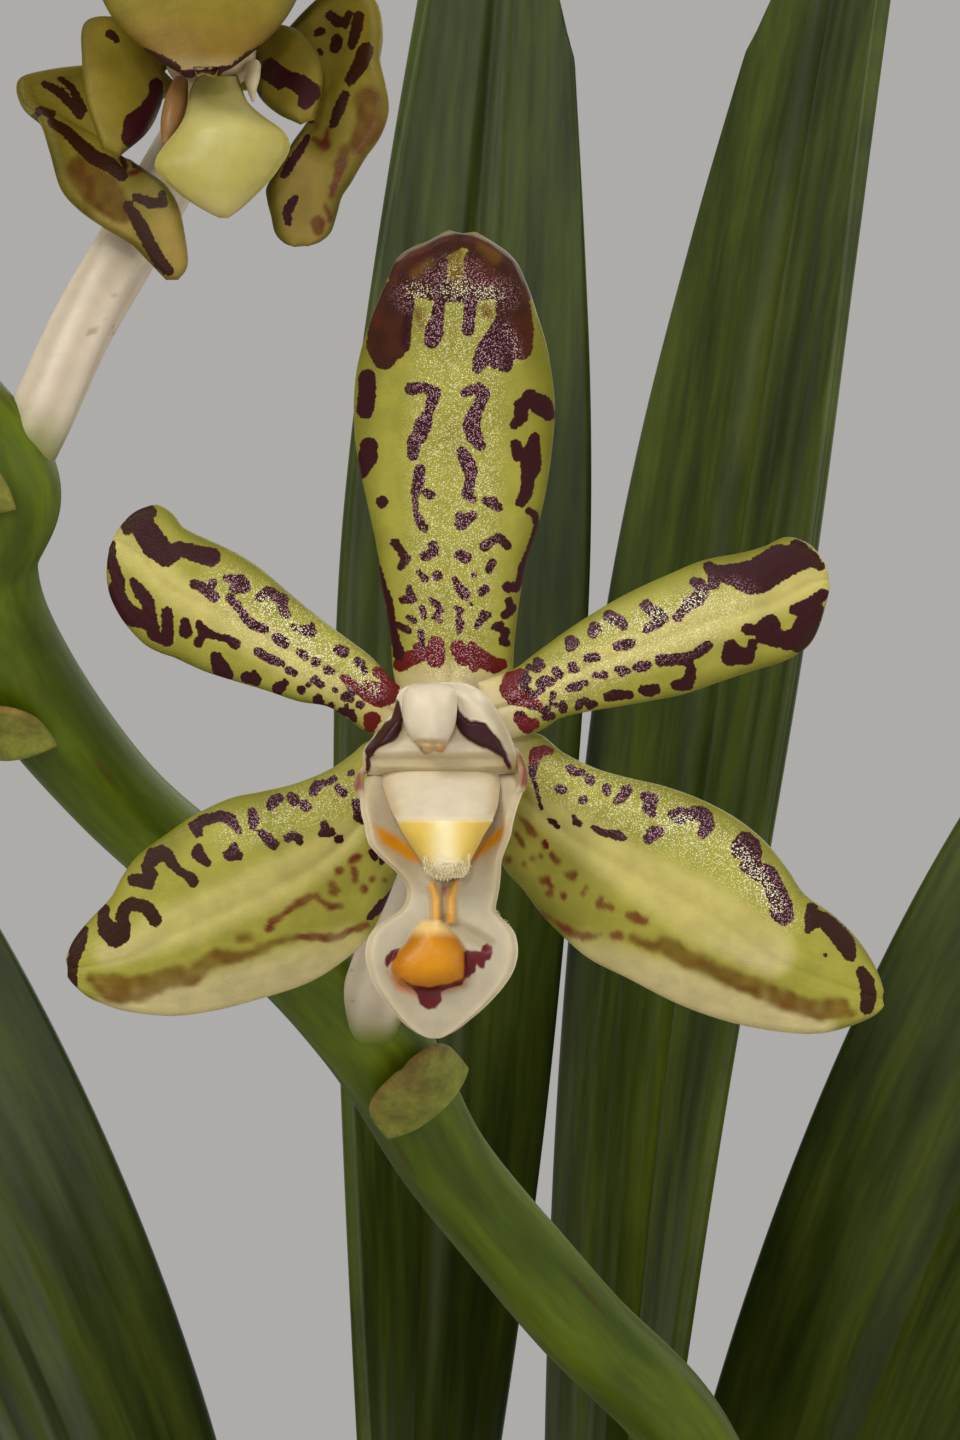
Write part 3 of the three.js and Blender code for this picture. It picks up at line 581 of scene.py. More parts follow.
DORSAL_SEPAL = {
    "near": [(399, 697), (393, 669), (391, 639), (387, 614), (381, 581), (376, 543), (368, 506),
             (360, 470), (355, 440), (354, 399), (358, 363), (370, 323), (385, 286), (396, 261),
             (408, 251), (423, 245), (440, 236), (451, 233)],
    "far": [(500, 697), (512, 672), (514, 647), (517, 619), (521, 589), (527, 559), (536, 533),
            (543, 506), (549, 473), (553, 440), (555, 410), (553, 382), (547, 349), (537, 316),
            (527, 286), (514, 260), (490, 242), (472, 234)],
    "depth": [1.5, 1, 0.5, 0.1, -0.3, -0.9, -1.6, -2.6, -3.1],
    "curl": (DORSAL_CURL, DORSAL_CURL),
}
PETAL_LEFT = {
    "near": [(417, 697), (396, 684), (371, 658), (347, 640), (317, 617), (288, 593), (260, 569),
             (235, 553), (210, 541), (193, 533), (182, 526), (172, 513), (158, 505), (146, 507),
             (135, 512), (126, 520), (117, 531)],
    "far": [(403, 741), (367, 731), (347, 717), (327, 705), (298, 700), (268, 690), (238, 681),
            (209, 672), (190, 664), (175, 657), (160, 652), (145, 644), (130, 629), (119, 614),
            (110, 595), (107, 575), (109, 548)],
    "depth": PETAL_DEPTH, "curl": PETAL_CURL,
}
PETAL_RIGHT = {
    "near": [(477, 683), (513, 670), (536, 654), (568, 631), (600, 610), (632, 592), (669, 575),
             (703, 561), (742, 553), (765, 546), (786, 537), (807, 543), (821, 557), (828, 572)],
    "far": [(491, 743), (536, 732), (559, 718), (586, 711), (616, 706), (651, 700), (685, 693),
            (720, 681), (754, 670), (784, 661), (807, 647), (818, 629), (825, 606), (830, 588)],
    "depth": PETAL_DEPTH, "curl": PETAL_CURL,
}
LATERAL_SEPAL_LEFT = {
    "near": [(399, 738), (369, 741), (351, 755), (329, 770), (295, 784), (262, 792), (229, 799),
             (195, 815), (168, 833), (139, 855), (124, 875), (112, 897), (90, 920), (74, 940),
             (66, 960)],
    "far": [(426, 771), (412, 830), (386, 900), (366, 938), (340, 962), (307, 982), (262, 997),
            (217, 1009), (173, 1015), (128, 1011), (102, 1003), (88, 996), (76, 985), (69, 974)],
    "depth": SEPAL_DEPTH, "curl": SEPAL_CURL,
}
LATERAL_SEPAL_RIGHT = {
    "near": [(496, 738), (536, 733), (564, 753), (597, 769), (628, 778), (666, 787), (704, 801),
             (737, 819), (765, 842), (786, 868), (803, 893), (832, 914), (857, 939), (875, 967),
             (883, 992)],
    "far": [(463, 771), (484, 830), (505, 868), (523, 888), (541, 912), (559, 931), (589, 957),
            (628, 977), (679, 1003), (730, 1021), (781, 1031), (819, 1033), (852, 1025),
            (875, 1014), (882, 1003)],
    "depth": SEPAL_DEPTH, "curl": SEPAL_CURL,
}

# Colours of the tepals
YELLOW_GREEN = linear(156, 150, 58)
OLIVE_GREEN = linear(104, 102, 12)
CREAM = linear(192, 178, 104)
PALE = linear(170, 160, 104)
MAROON = linear(50, 8, 12)
DEEP_BROWN = linear(48, 20, 4)
RED = linear(96, 16, 12)
# brown of the hooded tip's marks, darkened as painted shade where the tip faces down
SHADED_SIENNA = linear(56, 24, 8)
# the pale hairy rim of the dorsal tip, brightened as a painted highlight
SILVER_HIGHLIGHT = linear(150, 146, 128)
RUST = linear(108, 42, 16)
OCHRE = linear(108, 76, 14)

# Marks, as the strokes of (x, y, radius) that the photo shows, in its pixels. "streak" lightens
# the marks, "silver" is the pale hairy rim with a painted highlight along it, and
# "flash" is where the painted glitter highlights are brightest.
DORSAL_MARKS = {
    # brown marks round the hooded tip, partly painted shade where the tip curls forward
    "sienna": [
        [(472, 238, 6), (450, 240, 8), (430, 248, 9), (412, 258, 9), (398, 272, 10)],
        [(472, 238, 6), (488, 245, 8), (505, 257, 8), (518, 273, 9), (526, 292, 8)],
        [(463, 241, 5), (440, 249, 9), (424, 260, 11), (408, 275, 12)],
        [(463, 241, 5), (484, 248, 8), (502, 262, 10), (514, 284, 11)],
        [(433, 262, 14), (432, 282, 14)], [(478, 262, 14), (480, 282, 14)],
        [(410, 280, 14), (436, 290, 11), (470, 291, 10), (500, 284, 14)],
        [(402, 285, 13), (392, 305, 16), (385, 325, 15), (381, 345, 14), (384, 358, 11)],
        [(400, 305, 9), (398, 330, 9), (396, 350, 9)],
        [(511, 290, 12), (517, 310, 13), (520, 330, 13), (521, 348, 11)],
        [(505, 300, 10), (507, 318, 9)]],
    "ochre": [[(418, 312, 6), (420, 324, 5)], [(487, 312, 8)], [(456, 256, 9), (457, 286, 10)]],
    "maroon": [
        [(408, 300, 6), (404, 325, 7), (404, 345, 6)],
        [(440, 300, 5), (437, 318, 6), (434, 332, 9), (432, 341, 7)],
        [(471, 303, 6), (469, 318, 5), (468, 329, 6)],
        [(503, 322, 8), (494, 338, 9), (486, 350, 9), (480, 362, 7), (477, 369, 4)],
        [(508, 332, 8), (508, 350, 8), (505, 366, 6)],
        [(497, 345, 7), (496, 362, 6)],
        [(411, 389, 6), (424, 387, 4), (434, 393, 6), (431, 405, 5), (429, 412, 4), (423, 425, 8),
         (420, 435, 7), (414, 442, 6), (413, 455, 5)],
        [(465, 393, 4), (478, 388, 5), (484, 394, 6), (480, 404, 5), (474, 415, 7), (471, 427, 8),
         (475, 437, 7), (480, 445, 5)],
        [(367, 378, 8), (367, 395, 8), (365, 410, 8)],
        [(369, 446, 8), (368, 457, 9), (361, 472, 6)],
        [(358, 480, 2.5), (366, 520, 2), (376, 560, 2), (384, 590, 3), (389, 600, 3.5),
         (391, 615, 3), (393, 632, 4), (397, 645, 4), (400, 658, 5)],
        [(530, 398, 8), (542, 406, 10), (549, 414, 6)],
        [(521, 405, 6), (521, 418, 6), (514, 425, 3.5)],
        [(516, 445, 5), (519, 455, 6)],
        [(535, 437, 4), (532, 450, 8), (531, 465, 10), (528, 480, 6), (526, 492, 6), (521, 502, 5)],
        [(529, 511, 3), (535, 515, 3), (537, 525, 2.5), (533, 540, 2.5), (528, 553, 2.5),
         (523, 565, 3), (520, 580, 3), (516, 587, 3.5)],
        [(508, 587, 5), (516, 588, 3.5)], (509, 601, 3.5),
        [(512, 608, 4), (505, 615, 4)],
        [(462, 452, 5), (468, 464, 7), (471, 471, 6), (470, 482, 4.5), (467, 494, 5),
         (473, 500, 3)],
        [(420, 470, 5), (419, 480, 5.5), (416, 492, 4.5)], [(425, 492, 3), (431, 495, 4)],
        [(415, 500, 2.5), (416, 512, 2), (419, 520, 4), (424, 528, 4)],
        (382, 502, 5.5), [(492, 502, 5), (485, 501, 3), (498, 507, 4)],
        [(460, 516, 4), (461, 524, 6), (473, 515, 3.5)],
        [(395, 543, 4), (400, 550, 3), (406, 559, 4), (401, 567, 3)],
        [(433, 546, 4.5), (435, 553, 3.5), (425, 556, 4.5)],
        [(460, 555, 5), (466, 558, 5)],
        [(485, 546, 5), (492, 541, 3), (499, 537, 4), (507, 545, 4)],
        [(492, 563, 4), (489, 570, 3)], (437, 576, 4.5), [(425, 579, 3), (419, 572, 2)],
        (474, 575, 2.5), [(454, 578, 1.5), (460, 589, 4.5), (465, 595, 5)],
        [(485, 589, 4), (481, 593, 3)],
        [(409, 588, 2.5), (411, 596, 3.5), (413, 600, 3), (402, 600, 3)],
        [(431, 600, 2), (438, 605, 3), (440, 612, 3), (435, 617, 3)],
        [(422, 608, 2.5), (424, 616, 2.5)], [(456, 608, 2), (461, 611, 3)],
        [(458, 618, 2), (460, 624, 4), (459, 632, 2)], (471, 604, 1.5),
        [(483, 613, 3), (489, 615, 2), (480, 621, 3), (477, 626, 2.5)],
        [(500, 626, 4), (494, 627, 2.5), (506, 631, 3.5), (502, 642, 3), (507, 643, 3)],
        [(398, 625, 2.5), (405, 629, 3), (409, 631, 2.5)],
        [(408, 617, 2), (414, 621, 2.5)],
        [(421, 633, 3), (422, 645, 2), (424, 650, 2)], (440, 621, 1.5),
        [(390, 634, 3), (397, 645, 3.5), (397, 655, 3.5), (403, 662, 6)]],
    "red": [
        [(436, 645, 8), (436, 658, 9)], [(424, 655, 6), (410, 658, 7), (401, 664, 7)],
        (418, 648, 5),
        [(458, 648, 7), (464, 656, 9), (476, 656, 9)], [(472, 646, 4), (474, 668, 4)],
        [(484, 660, 8), (495, 666, 7), (502, 664, 5)]],
    "streak": [[(453, 258, 3), (456, 272, 6), (458, 286, 6)], [(480, 247, 3), (496, 258, 5)],
               [(430, 262, 4), (414, 274, 4)]],
    # the pale hairy rim along the top, brightened as a painted highlight
    "silver": [[(396, 261, 1), (408, 251, 1), (423, 245, 1), (440, 236, 1), (455, 232, 1),
                (472, 234, 1),
                (490, 242, 1), (514, 260, 1), (527, 286, 1), (537, 316, 0.5)]],
    "flash": [[(414, 290, 8), (424, 292, 7)], [(450, 290, 8), (462, 288, 8)], [(484, 292, 8),
                                                                               (494, 294, 7)],
              [(508, 328, 3), (515, 345, 4), (517, 358, 3)]],
}
PETAL_LEFT_MARKS = {
    "brown": [[(150, 512, 6), (140, 520, 12), (128, 528, 6)], [(111, 545, 4), (111, 560, 4)]],
    "maroon": [
        [(143, 524, 9), (146, 532, 12), (155, 545, 13), (166, 556, 10), (180, 549, 7),
         (198, 554, 8), (211, 557, 9)],
        [(110, 552, 3), (113, 565, 5), (118, 580, 6), (116, 595, 8), (122, 606, 8), (133, 617, 9),
         (143, 620, 8), (150, 625, 6)],
        [(133, 581, 3), (140, 592, 6), (148, 602, 6), (150, 615, 6), (153, 632, 6)],
        [(167, 640, 6), (168, 625, 5), (167, 612, 5)], [(153, 636, 4), (165, 640, 5)],
        [(185, 622, 4), (186, 632, 6)],
        [(199, 624, 3.5), (204, 632, 5), (215, 636, 3), (228, 639, 3), (235, 644, 5)],
        [(202, 638, 3), (198, 643, 4)], [(216, 657, 5), (220, 667, 8), (228, 675, 5)],
        [(246, 677, 5), (256, 680, 5), (254, 673, 3)], [(279, 688, 6), (285, 683, 3)],
        (301, 690, 4), [(318, 700, 5), (322, 704, 2)], (331, 706, 3),
        [(340, 711, 2.5), (350, 713, 4), (355, 720, 2)],
        [(194, 584, 4), (206, 589, 5), (214, 597, 5)], (213, 583, 4),
        [(226, 578, 2.5), (240, 581, 6), (243, 586, 7), (235, 588, 5)],
        [(230, 598, 4), (236, 604, 4), (241, 611, 3), (247, 620, 4), (255, 626, 4), (265, 629, 4)],
        [(260, 597, 4), (268, 592, 5), (275, 596, 5), (283, 600, 5), (282, 608, 4), (286, 614, 4)],
        [(277, 638, 5), (284, 643, 5)], (294, 627, 3), [(304, 630, 5), (310, 631, 6),
                                                        (312, 626, 3)],
        [(300, 652, 3), (305, 656, 4)], (316, 662, 4.5), [(327, 670, 3.5), (332, 672, 2.5)],
        [(339, 650, 5), (344, 653, 4), (347, 650, 2)],
        [(357, 660, 3), (361, 664, 4), (365, 672, 2.5)],
        [(258, 652, 4), (266, 657, 4), (275, 661, 4), (283, 664, 2)],
        [(288, 670, 3), (294, 673, 3)], [(315, 680, 4), (321, 685, 3)], (308, 685, 2),
        (335, 690, 2.5), [(345, 697, 4), (351, 699, 3)], [(349, 690, 2), (354, 693, 2)],
        (360, 705, 4), (347, 706, 2)],
    "red": [
        [(343, 678, 3), (348, 681, 4), (356, 686, 3), (362, 692, 4), (370, 698, 5), (380, 702, 5),
         (390, 698, 6), (393, 686, 6), (388, 676, 6), (378, 672, 5)],
        [(366, 684, 3), (378, 688, 6), (388, 694, 7)], [(372, 720, 8), (370, 728, 5)]],
    "flash": [[(262, 600, 6), (277, 622, 9), (306, 643, 9), (327, 656, 8)], [(355, 672, 6),
                                                                             (374, 688, 7)]],
}
PETAL_RIGHT_MARKS = {
    "brown": [
        [(797, 548, 8), (812, 560, 7), (820, 566, 4)], [(812, 612, 9), (808, 632, 8),
                                                        (798, 645, 7)]],
    "maroon": [
        [(709, 567, 5), (716, 574, 8), (714, 584, 5)],
        [(722, 573, 8), (742, 576, 13), (758, 576, 17), (780, 562, 17), (800, 558, 12),
         (812, 559, 7)],
        [(740, 584, 6), (750, 586, 8)],
        [(795, 610, 5), (803, 608, 6), (812, 603, 6), (823, 594, 5)],
        [(747, 629, 5), (757, 630, 5), (770, 624, 9), (772, 634, 9)],
        [(762, 637, 6), (786, 640, 9), (797, 640, 10), (806, 625, 11), (814, 610, 9)],
        [(753, 643, 4), (751, 652, 4)], [(746, 656, 8), (737, 656, 8), (730, 657, 8),
                                         (731, 647, 7)],
        [(694, 582, 4), (699, 584, 6), (703, 590, 6), (698, 598, 7), (689, 604, 6), (682, 612, 4),
         (677, 618, 4)],
        [(646, 605, 5), (643, 606, 3), (652, 611, 6), (659, 615, 6), (664, 619, 4), (656, 624, 5),
         (648, 628, 4), (646, 630, 3)],
        [(609, 616, 5.5), (616, 620, 6), (622, 623, 5), (624, 627, 3)],
        [(595, 627, 5), (593, 633, 5), (597, 630, 4)],
        [(571, 642, 6), (570, 647, 4), (576, 643, 3)],
        [(617, 646, 4), (624, 645, 5), (631, 643, 4)], [(588, 658, 4), (596, 657, 4)],
        [(572, 666, 4), (573, 669, 4), (577, 670, 2)], [(556, 671, 4), (559, 675, 4)],
        [(538, 663, 5), (537, 668, 4), (542, 666, 3)], (529, 667, 3),
        [(661, 660, 6), (672, 660, 5), (683, 659, 5), (694, 655, 4), (703, 649, 5), (708, 645, 4)],
        [(688, 662, 4), (691, 669, 4), (690, 677, 5.5), (687, 684, 6), (680, 685, 5),
         (675, 685, 4)],
        [(637, 667, 4), (644, 666, 5), (647, 665, 4)], [(618, 670, 3), (622, 671, 5),
                                                        (627, 671, 3)],
        (604, 675, 3.5), (596, 675, 3), (585, 683, 3), [(569, 689, 3), (573, 687, 4),
                                                        (578, 686, 4)],
        [(540, 683, 4), (545, 681, 5), (551, 682, 4)], (542, 688, 3), [(537, 693, 2),
                                                                       (541, 692, 2)],
        [(553, 694, 3), (552, 698, 2)], (552, 703, 2), (556, 705, 2),
        [(545, 711, 4), (542, 710, 2), (548, 708, 2)], [(545, 717, 3), (551, 716, 4)],
        [(563, 704, 3), (563, 709, 4)], [(578, 707, 3), (580, 702, 3)],
        [(585, 701, 3), (590, 705, 4), (595, 704, 2.5)],
        [(608, 697, 4), (615, 695, 5), (622, 695, 4)], (629, 695, 4.5),
        [(643, 690, 4), (649, 691, 6), (655, 689, 5)],
        [(526, 680, 5), (523, 675, 4), (522, 684, 4)], [(528, 692, 4), (532, 696, 4)],
        [(531, 704, 5), (535, 706, 4)], [(520, 716, 5), (524, 722, 4)]],
    "red": [
        [(520, 673, 4), (511, 679, 7), (508, 690, 8), (514, 697, 8), (524, 699, 7), (530, 702, 6),
         (538, 705, 4)],
        [(520, 718, 6), (528, 726, 7), (534, 724, 5)]],
    "flash": [[(600, 630, 5), (612, 622, 6)], [(645, 620, 7), (660, 612, 6)], [(685, 605, 6),
                                                                               (700, 596, 5)]],
}
SEPAL_LEFT_MARKS = {
    "brown": [
        [(84, 930, 4), (81, 940, 6), (76, 950, 6), (73, 962, 5), (72, 975, 4), (74, 984, 3)],
        [(104, 910, 5), (103, 918, 5), (108, 930, 9), (115, 938, 9), (122, 936, 7), (124, 928, 6),
         (122, 916, 6), (126, 908, 6), (131, 903, 5.5), (138, 905, 6), (146, 907, 6), (152, 914, 6),
         (155, 920, 6)],
        [(133, 880, 5), (140, 880, 6), (148, 883, 6), (150, 874, 7), (147, 866, 5), (154, 856, 8),
         (162, 852, 6), (168, 857, 6), (172, 863, 5), (178, 870, 3.5), (184, 874, 3.5),
         (190, 877, 5), (193, 882, 5)]],
    "maroon": [
        [(193, 826, 4), (198, 833, 4), (197, 825, 5), (203, 820, 5), (213, 818, 5), (222, 816, 5),
         (230, 819, 5.5), (235, 825, 4), (239, 832, 2)],
        [(198, 848, 4), (198, 854, 6), (204, 860, 4), (207, 863, 3.5)],
        [(234, 847, 4), (232, 855, 6), (227, 855, 4), (238, 856, 4)],
        [(252, 812, 4), (254, 820, 5), (253, 827, 3)], [(271, 806, 4), (275, 800, 5),
                                                        (279, 798, 4)],
        [(290, 795, 3), (293, 799, 5), (296, 802, 4)], [(305, 803, 3), (306, 807, 4.5)],
        [(262, 833, 3.5), (267, 838, 5), (273, 845, 4), (276, 844, 3)],
        [(288, 838, 4), (293, 835, 3), (298, 838, 4), (300, 842, 3)],
        [(313, 792, 4), (317, 786, 5), (323, 783, 3)], [(329, 782, 3), (334, 779, 3)],
        [(338, 788, 3), (343, 793, 4)], (351, 773, 3),
        [(324, 824, 3), (326, 829, 4), (322, 834, 3), (332, 833, 3), (330, 830, 3)], (339, 839, 4),
        [(356, 803, 4), (358, 810, 4), (357, 817, 3), (362, 822, 2)],
        [(372, 852, 3), (375, 858, 2.5)], (382, 861, 3),
        [(370, 917, 3), (380, 907, 4), (388, 898, 3), (395, 890, 2)]],
    "rust": [
        (340, 870, 5), [(352, 860, 4), (358, 857, 4), (361, 856, 2)],
        [(353, 870, 4), (356, 875, 4), (354, 881, 3)],
        [(333, 886, 5), (338, 891, 4), (331, 892, 4), (336, 895, 3)], (372, 879, 3),
        (385, 880, 2.5),
        (364, 889, 4),
        [(269, 929, 4), (272, 923, 5), (279, 919, 4), (285, 913, 3.5), (295, 906, 4), (303, 902, 5),
         (311, 896, 3.5), (317, 896, 3), (322, 902, 3), (330, 907, 4), (338, 906, 3.5),
         (342, 908, 2)],
        [(300, 937, 3.5), (310, 937, 4.5), (325, 938, 4.5), (340, 936, 3.5), (352, 930, 3.5),
         (365, 926, 4)]],
    "ochre": [
        [(240, 938, 5), (249, 937, 5)],
        [(92, 979, 6), (100, 983, 10), (112, 988, 15), (125, 990, 15), (140, 988, 14),
         (155, 984, 12), (168, 977, 11), (180, 977, 11), (192, 978, 9), (200, 970, 9),
         (208, 962, 9), (215, 957, 9), (228, 958, 8), (240, 956, 6), (252, 953, 5), (263, 948, 6),
         (270, 944, 4), (285, 940, 4), (300, 937, 3)]],
}
SEPAL_RIGHT_MARKS = {
    "maroon": [
        [(533, 768, 4), (532, 775, 2.5), (535, 783, 1), (537, 792, 1), (539, 800, 1),
         (541, 808, 1.5)],
        [(569, 768, 3), (573, 771, 4), (582, 773, 3)], (590, 780, 4.5),
        [(559, 789, 4), (563, 790, 4)], (583, 800, 4), [(606, 787, 3.5), (607, 792, 3.5)],
        [(627, 790, 5), (621, 798, 4), (617, 801, 3)],
        [(646, 797, 5), (652, 800, 6), (649, 808, 6), (653, 814, 3)],
        [(549, 820, 1.5), (554, 823, 2.5), (558, 827, 1.5)], [(573, 815, 1), (576, 822, 2.5),
                                                              (580, 824, 2)],
        [(593, 827, 1.5), (601, 832, 3), (610, 834, 3.5), (618, 835, 4.5), (623, 838, 3)],
        [(653, 833, 6.5), (659, 832, 5), (648, 839, 4.5)],
        [(672, 814, 4), (680, 816, 8), (690, 814, 6), (700, 813, 6.5), (706, 818, 7), (708, 826, 6),
         (703, 833, 5)],
        [(737, 845, 5), (745, 839, 7), (753, 846, 7), (756, 855, 6), (747, 852, 6), (738, 852, 6)],
        [(745, 866, 5), (752, 868, 8), (760, 872, 9), (768, 875, 9), (773, 885, 9), (778, 896, 10),
         (783, 906, 9), (786, 916, 7), (783, 920, 5), (776, 912, 6)],
        (825, 955, 1.5)],
    "red": [
        [(550, 751, 3), (543, 750, 4), (536, 754, 6), (534, 760, 5)],
        [(545, 842, 1.5), (547, 847, 1.5)]],
    "rust": [
        [(602, 899, 3), (599, 905, 4), (607, 906, 4), (612, 908, 2)],
        [(541, 912, 1.5), (554, 920, 2.5), (563, 927, 4), (573, 933, 4), (584, 936, 5),
         (594, 937, 4),
         (601, 934, 2)],
        [(566, 874, 3), (571, 877, 4), (575, 873, 3)], [(586, 888, 2.5), (583, 893, 3)],
        [(521, 818, 3), (526, 824, 4), (531, 831, 5), (535, 836, 3)], [(543, 843, 3),
                                                                       (545, 848, 2)],
        [(516, 834, 2), (520, 840, 3), (523, 846, 2)], [(552, 855, 3), (557, 861, 5)],
        (508, 860, 4), (524, 864, 4), (533, 859, 4), (541, 856, 2),
        [(543, 881, 4), (547, 880, 4), (551, 886, 3)], (549, 893, 4), (563, 896, 4),
        [(628, 916, 4), (637, 918, 6), (645, 921, 4)], [(614, 935, 4), (621, 936, 4)]],
    "brown": [
        [(812, 908, 5), (812, 922, 7), (808, 930, 3)],
        [(818, 918, 7), (828, 923, 8), (838, 934, 9), (846, 945, 9), (850, 955, 6)],
        [(862, 972, 5), (867, 982, 7), (869, 996, 7), (867, 1008, 6)]],
    "ochre": [
        [(633, 938, 5), (642, 944, 5), (652, 946, 6), (665, 945, 9), (675, 950, 10), (688, 960, 10),
         (702, 964, 9), (716, 971, 8), (730, 978, 10), (745, 984, 10), (760, 989, 11),
         (775, 996, 11), (790, 1002, 11), (805, 1007, 10), (820, 1010, 11), (838, 1008, 12),
         (850, 1013, 5)]],
    "flash": [[(738, 850, 7), (757, 875, 9), (775, 905, 8)], [(668, 822, 6), (690, 822, 6)]],
}
TINTS = {"maroon": MAROON, "brown": DEEP_BROWN, "sienna": SHADED_SIENNA, "red": RED, "rust": RUST,
         "ochre": OCHRE}
SOFT_MARKS = {"ochre": 3.0, "rust": 0.7}  # these lie in the base colour, and fade over these pixels

# Where the flesh is cream, and where its cells get painted glitter highlights, as wide strokes
DORSAL_CREAM = [[(400, 690, 16), (424, 684, 15), (470, 684, 15), (506, 690, 16)]]
PETAL_LEFT_CREAM = [[(116, 543, 9), (149, 565, 9), (179, 593, 11), (209, 613, 14), (248, 632, 14),
                     (288, 660, 12), (327, 684, 10), (372, 700, 14)],
                    [(414, 700, 20), (404, 735, 18)]]
PETAL_RIGHT_CREAM = [[(823, 574, 12), (765, 599, 16), (700, 624, 16), (648, 645, 14),
                      (600, 663, 11),
                      (560, 680, 10), (520, 700, 14)],
                     [(484, 684, 18), (490, 735, 18)]]
SEPAL_LEFT_CREAM = [[(110, 1012, 10), (170, 1006, 16), (240, 990, 19), (300, 970, 20),
                     (350, 947, 15)],
                    [(110, 950, 8), (190, 920, 16), (280, 880, 18), (350, 835, 10)]]
SEPAL_RIGHT_CREAM = [[(582, 950, 12), (630, 974, 20), (690, 998, 21), (750, 1016, 18),
                      (815, 1028, 12)],
                     [(540, 810, 8), (620, 865, 18), (700, 910, 26), (770, 950, 18)]]
DORSAL_GLINT = [[(455, 292, 34), (460, 350, 44), (455, 440, 46), (455, 520, 42), (450, 600, 40),
                 (450, 650, 34)], [(412, 296, 14), (500, 296, 14)]]
PETAL_LEFT_GLINT = [[(225, 590, 22), (270, 625, 30), (320, 655, 26), (365, 685, 18)]]
PETAL_RIGHT_GLINT = [[(525, 700, 18), (580, 670, 26), (650, 635, 30), (710, 610, 28),
                      (735, 600, 18)]]
SEPAL_LEFT_GLINT = [[(230, 835, 12), (290, 815, 18), (345, 795, 18)]]
SEPAL_RIGHT_GLINT = [[(545, 775, 20), (600, 795, 24), (660, 820, 26), (720, 850, 24),
                      (765, 890, 18),
                      (790, 920, 10)]]


# where the places near an end lie, as shares of its zone
NEAR_ENDS = np.array([0, 0.1, 0.34, 0.66])
END_PLACES = 2 * len(NEAR_ENDS)


def close_ends(count, share):
    """Shares from 0 to 1, evenly spaced but for a few close together within share of each end."""
    near = share * NEAR_ENDS
    return np.concatenate([near, np.linspace(share, 1 - share, count - END_PLACES), 1 - near[::-1]])


def sheet_faces(rows, columns):
    """Faces of a closed sheet: a front and a back grid that share their border."""
    front = np.arange(rows * columns).reshape(rows, columns)
    back = front.copy()
    back[1:-1, 1:-1] = rows * columns + np.arange((rows - 2) * (columns - 2)).reshape(rows - 2, -1)

    def quads(g):
        return np.stack([g[:-1, :-1], g[:-1, 1:], g[1:, 1:], g[1:, :-1]], axis=-1).reshape(-1, 4)
    return np.vstack([quads(front), quads(back)[:, ::-1]]).tolist()


def both_sides(front, back):
    """Values of a closed sheet's vertices from those of its front and its back grid."""
    tail = front.shape[2:]
    return np.concatenate([front.reshape(-1, *tail), back[1:-1, 1:-1].reshape(-1, *tail)])


def thicken(surface, thickness):
    """Front and back grids of a sheet with rounded edges, about a grid of places."""
    lengthwise = np.gradient(surface, axis=0)
    across = np.gradient(surface, axis=1)
    normal = unit(np.cross(lengthwise, across))
    steps = np.linalg.norm(np.diff(surface, axis=1), axis=2)
    run = np.concatenate([np.zeros((len(surface), 1)), np.cumsum(steps, axis=1)], axis=1)
    rise = np.linalg.norm(np.diff(surface, axis=0), axis=2)
    climb = np.concatenate([np.zeros((1, surface.shape[1])), np.cumsum(rise, axis=0)], axis=0)
    edge = np.minimum(np.minimum(run, run[:, -1:] - run), np.minimum(climb, climb[-1:] - climb))
    half = thickness / 2
    full = np.clip(edge / (1.4 * np.maximum(half, 1e-6)), 0, 1)
    lift = (half * np.sqrt(1 - (1 - full) ** 2))[..., None]
    return surface + normal * lift, surface - normal * lift


def tepal_surface(shape, rows, columns, in_photo=True):
    """A grid of places on the middle of a tepal, as seen from the heart: u runs from the base to
    the tip, and v from the near to the far edge."""
    u = close_ends(rows, 0.02)
    v = 2 * close_ends(columns, 0.05) - 1
    depth = read(shape["depth"], u)
    curls = [read(curl, u) for curl in shape["curl"]]
    if in_photo:
        near, far = (evenly(shape[key], u) for key in ("near", "far"))
        near, far = (from_photo(e[:, 0], e[:, 1], depth + c) for e, c in zip((near, far), curls))
    else:
        near, far = (spline(shape[key], u) for key in ("near", "far"))
        near, far = (np.stack([e[:, 0], depth + c, e[:, 1]], axis=1)
                     for e, c in zip((near, far), curls))
    middle = (near + far) / 2
    middle[:, 1] = depth
    bow = (near + far) / 2 - middle
    return (middle[:, None] + (far - near)[:, None] * v[None, :, None] / 2
            + bow[:, None] * (v ** 2)[None, :, None]), u, v


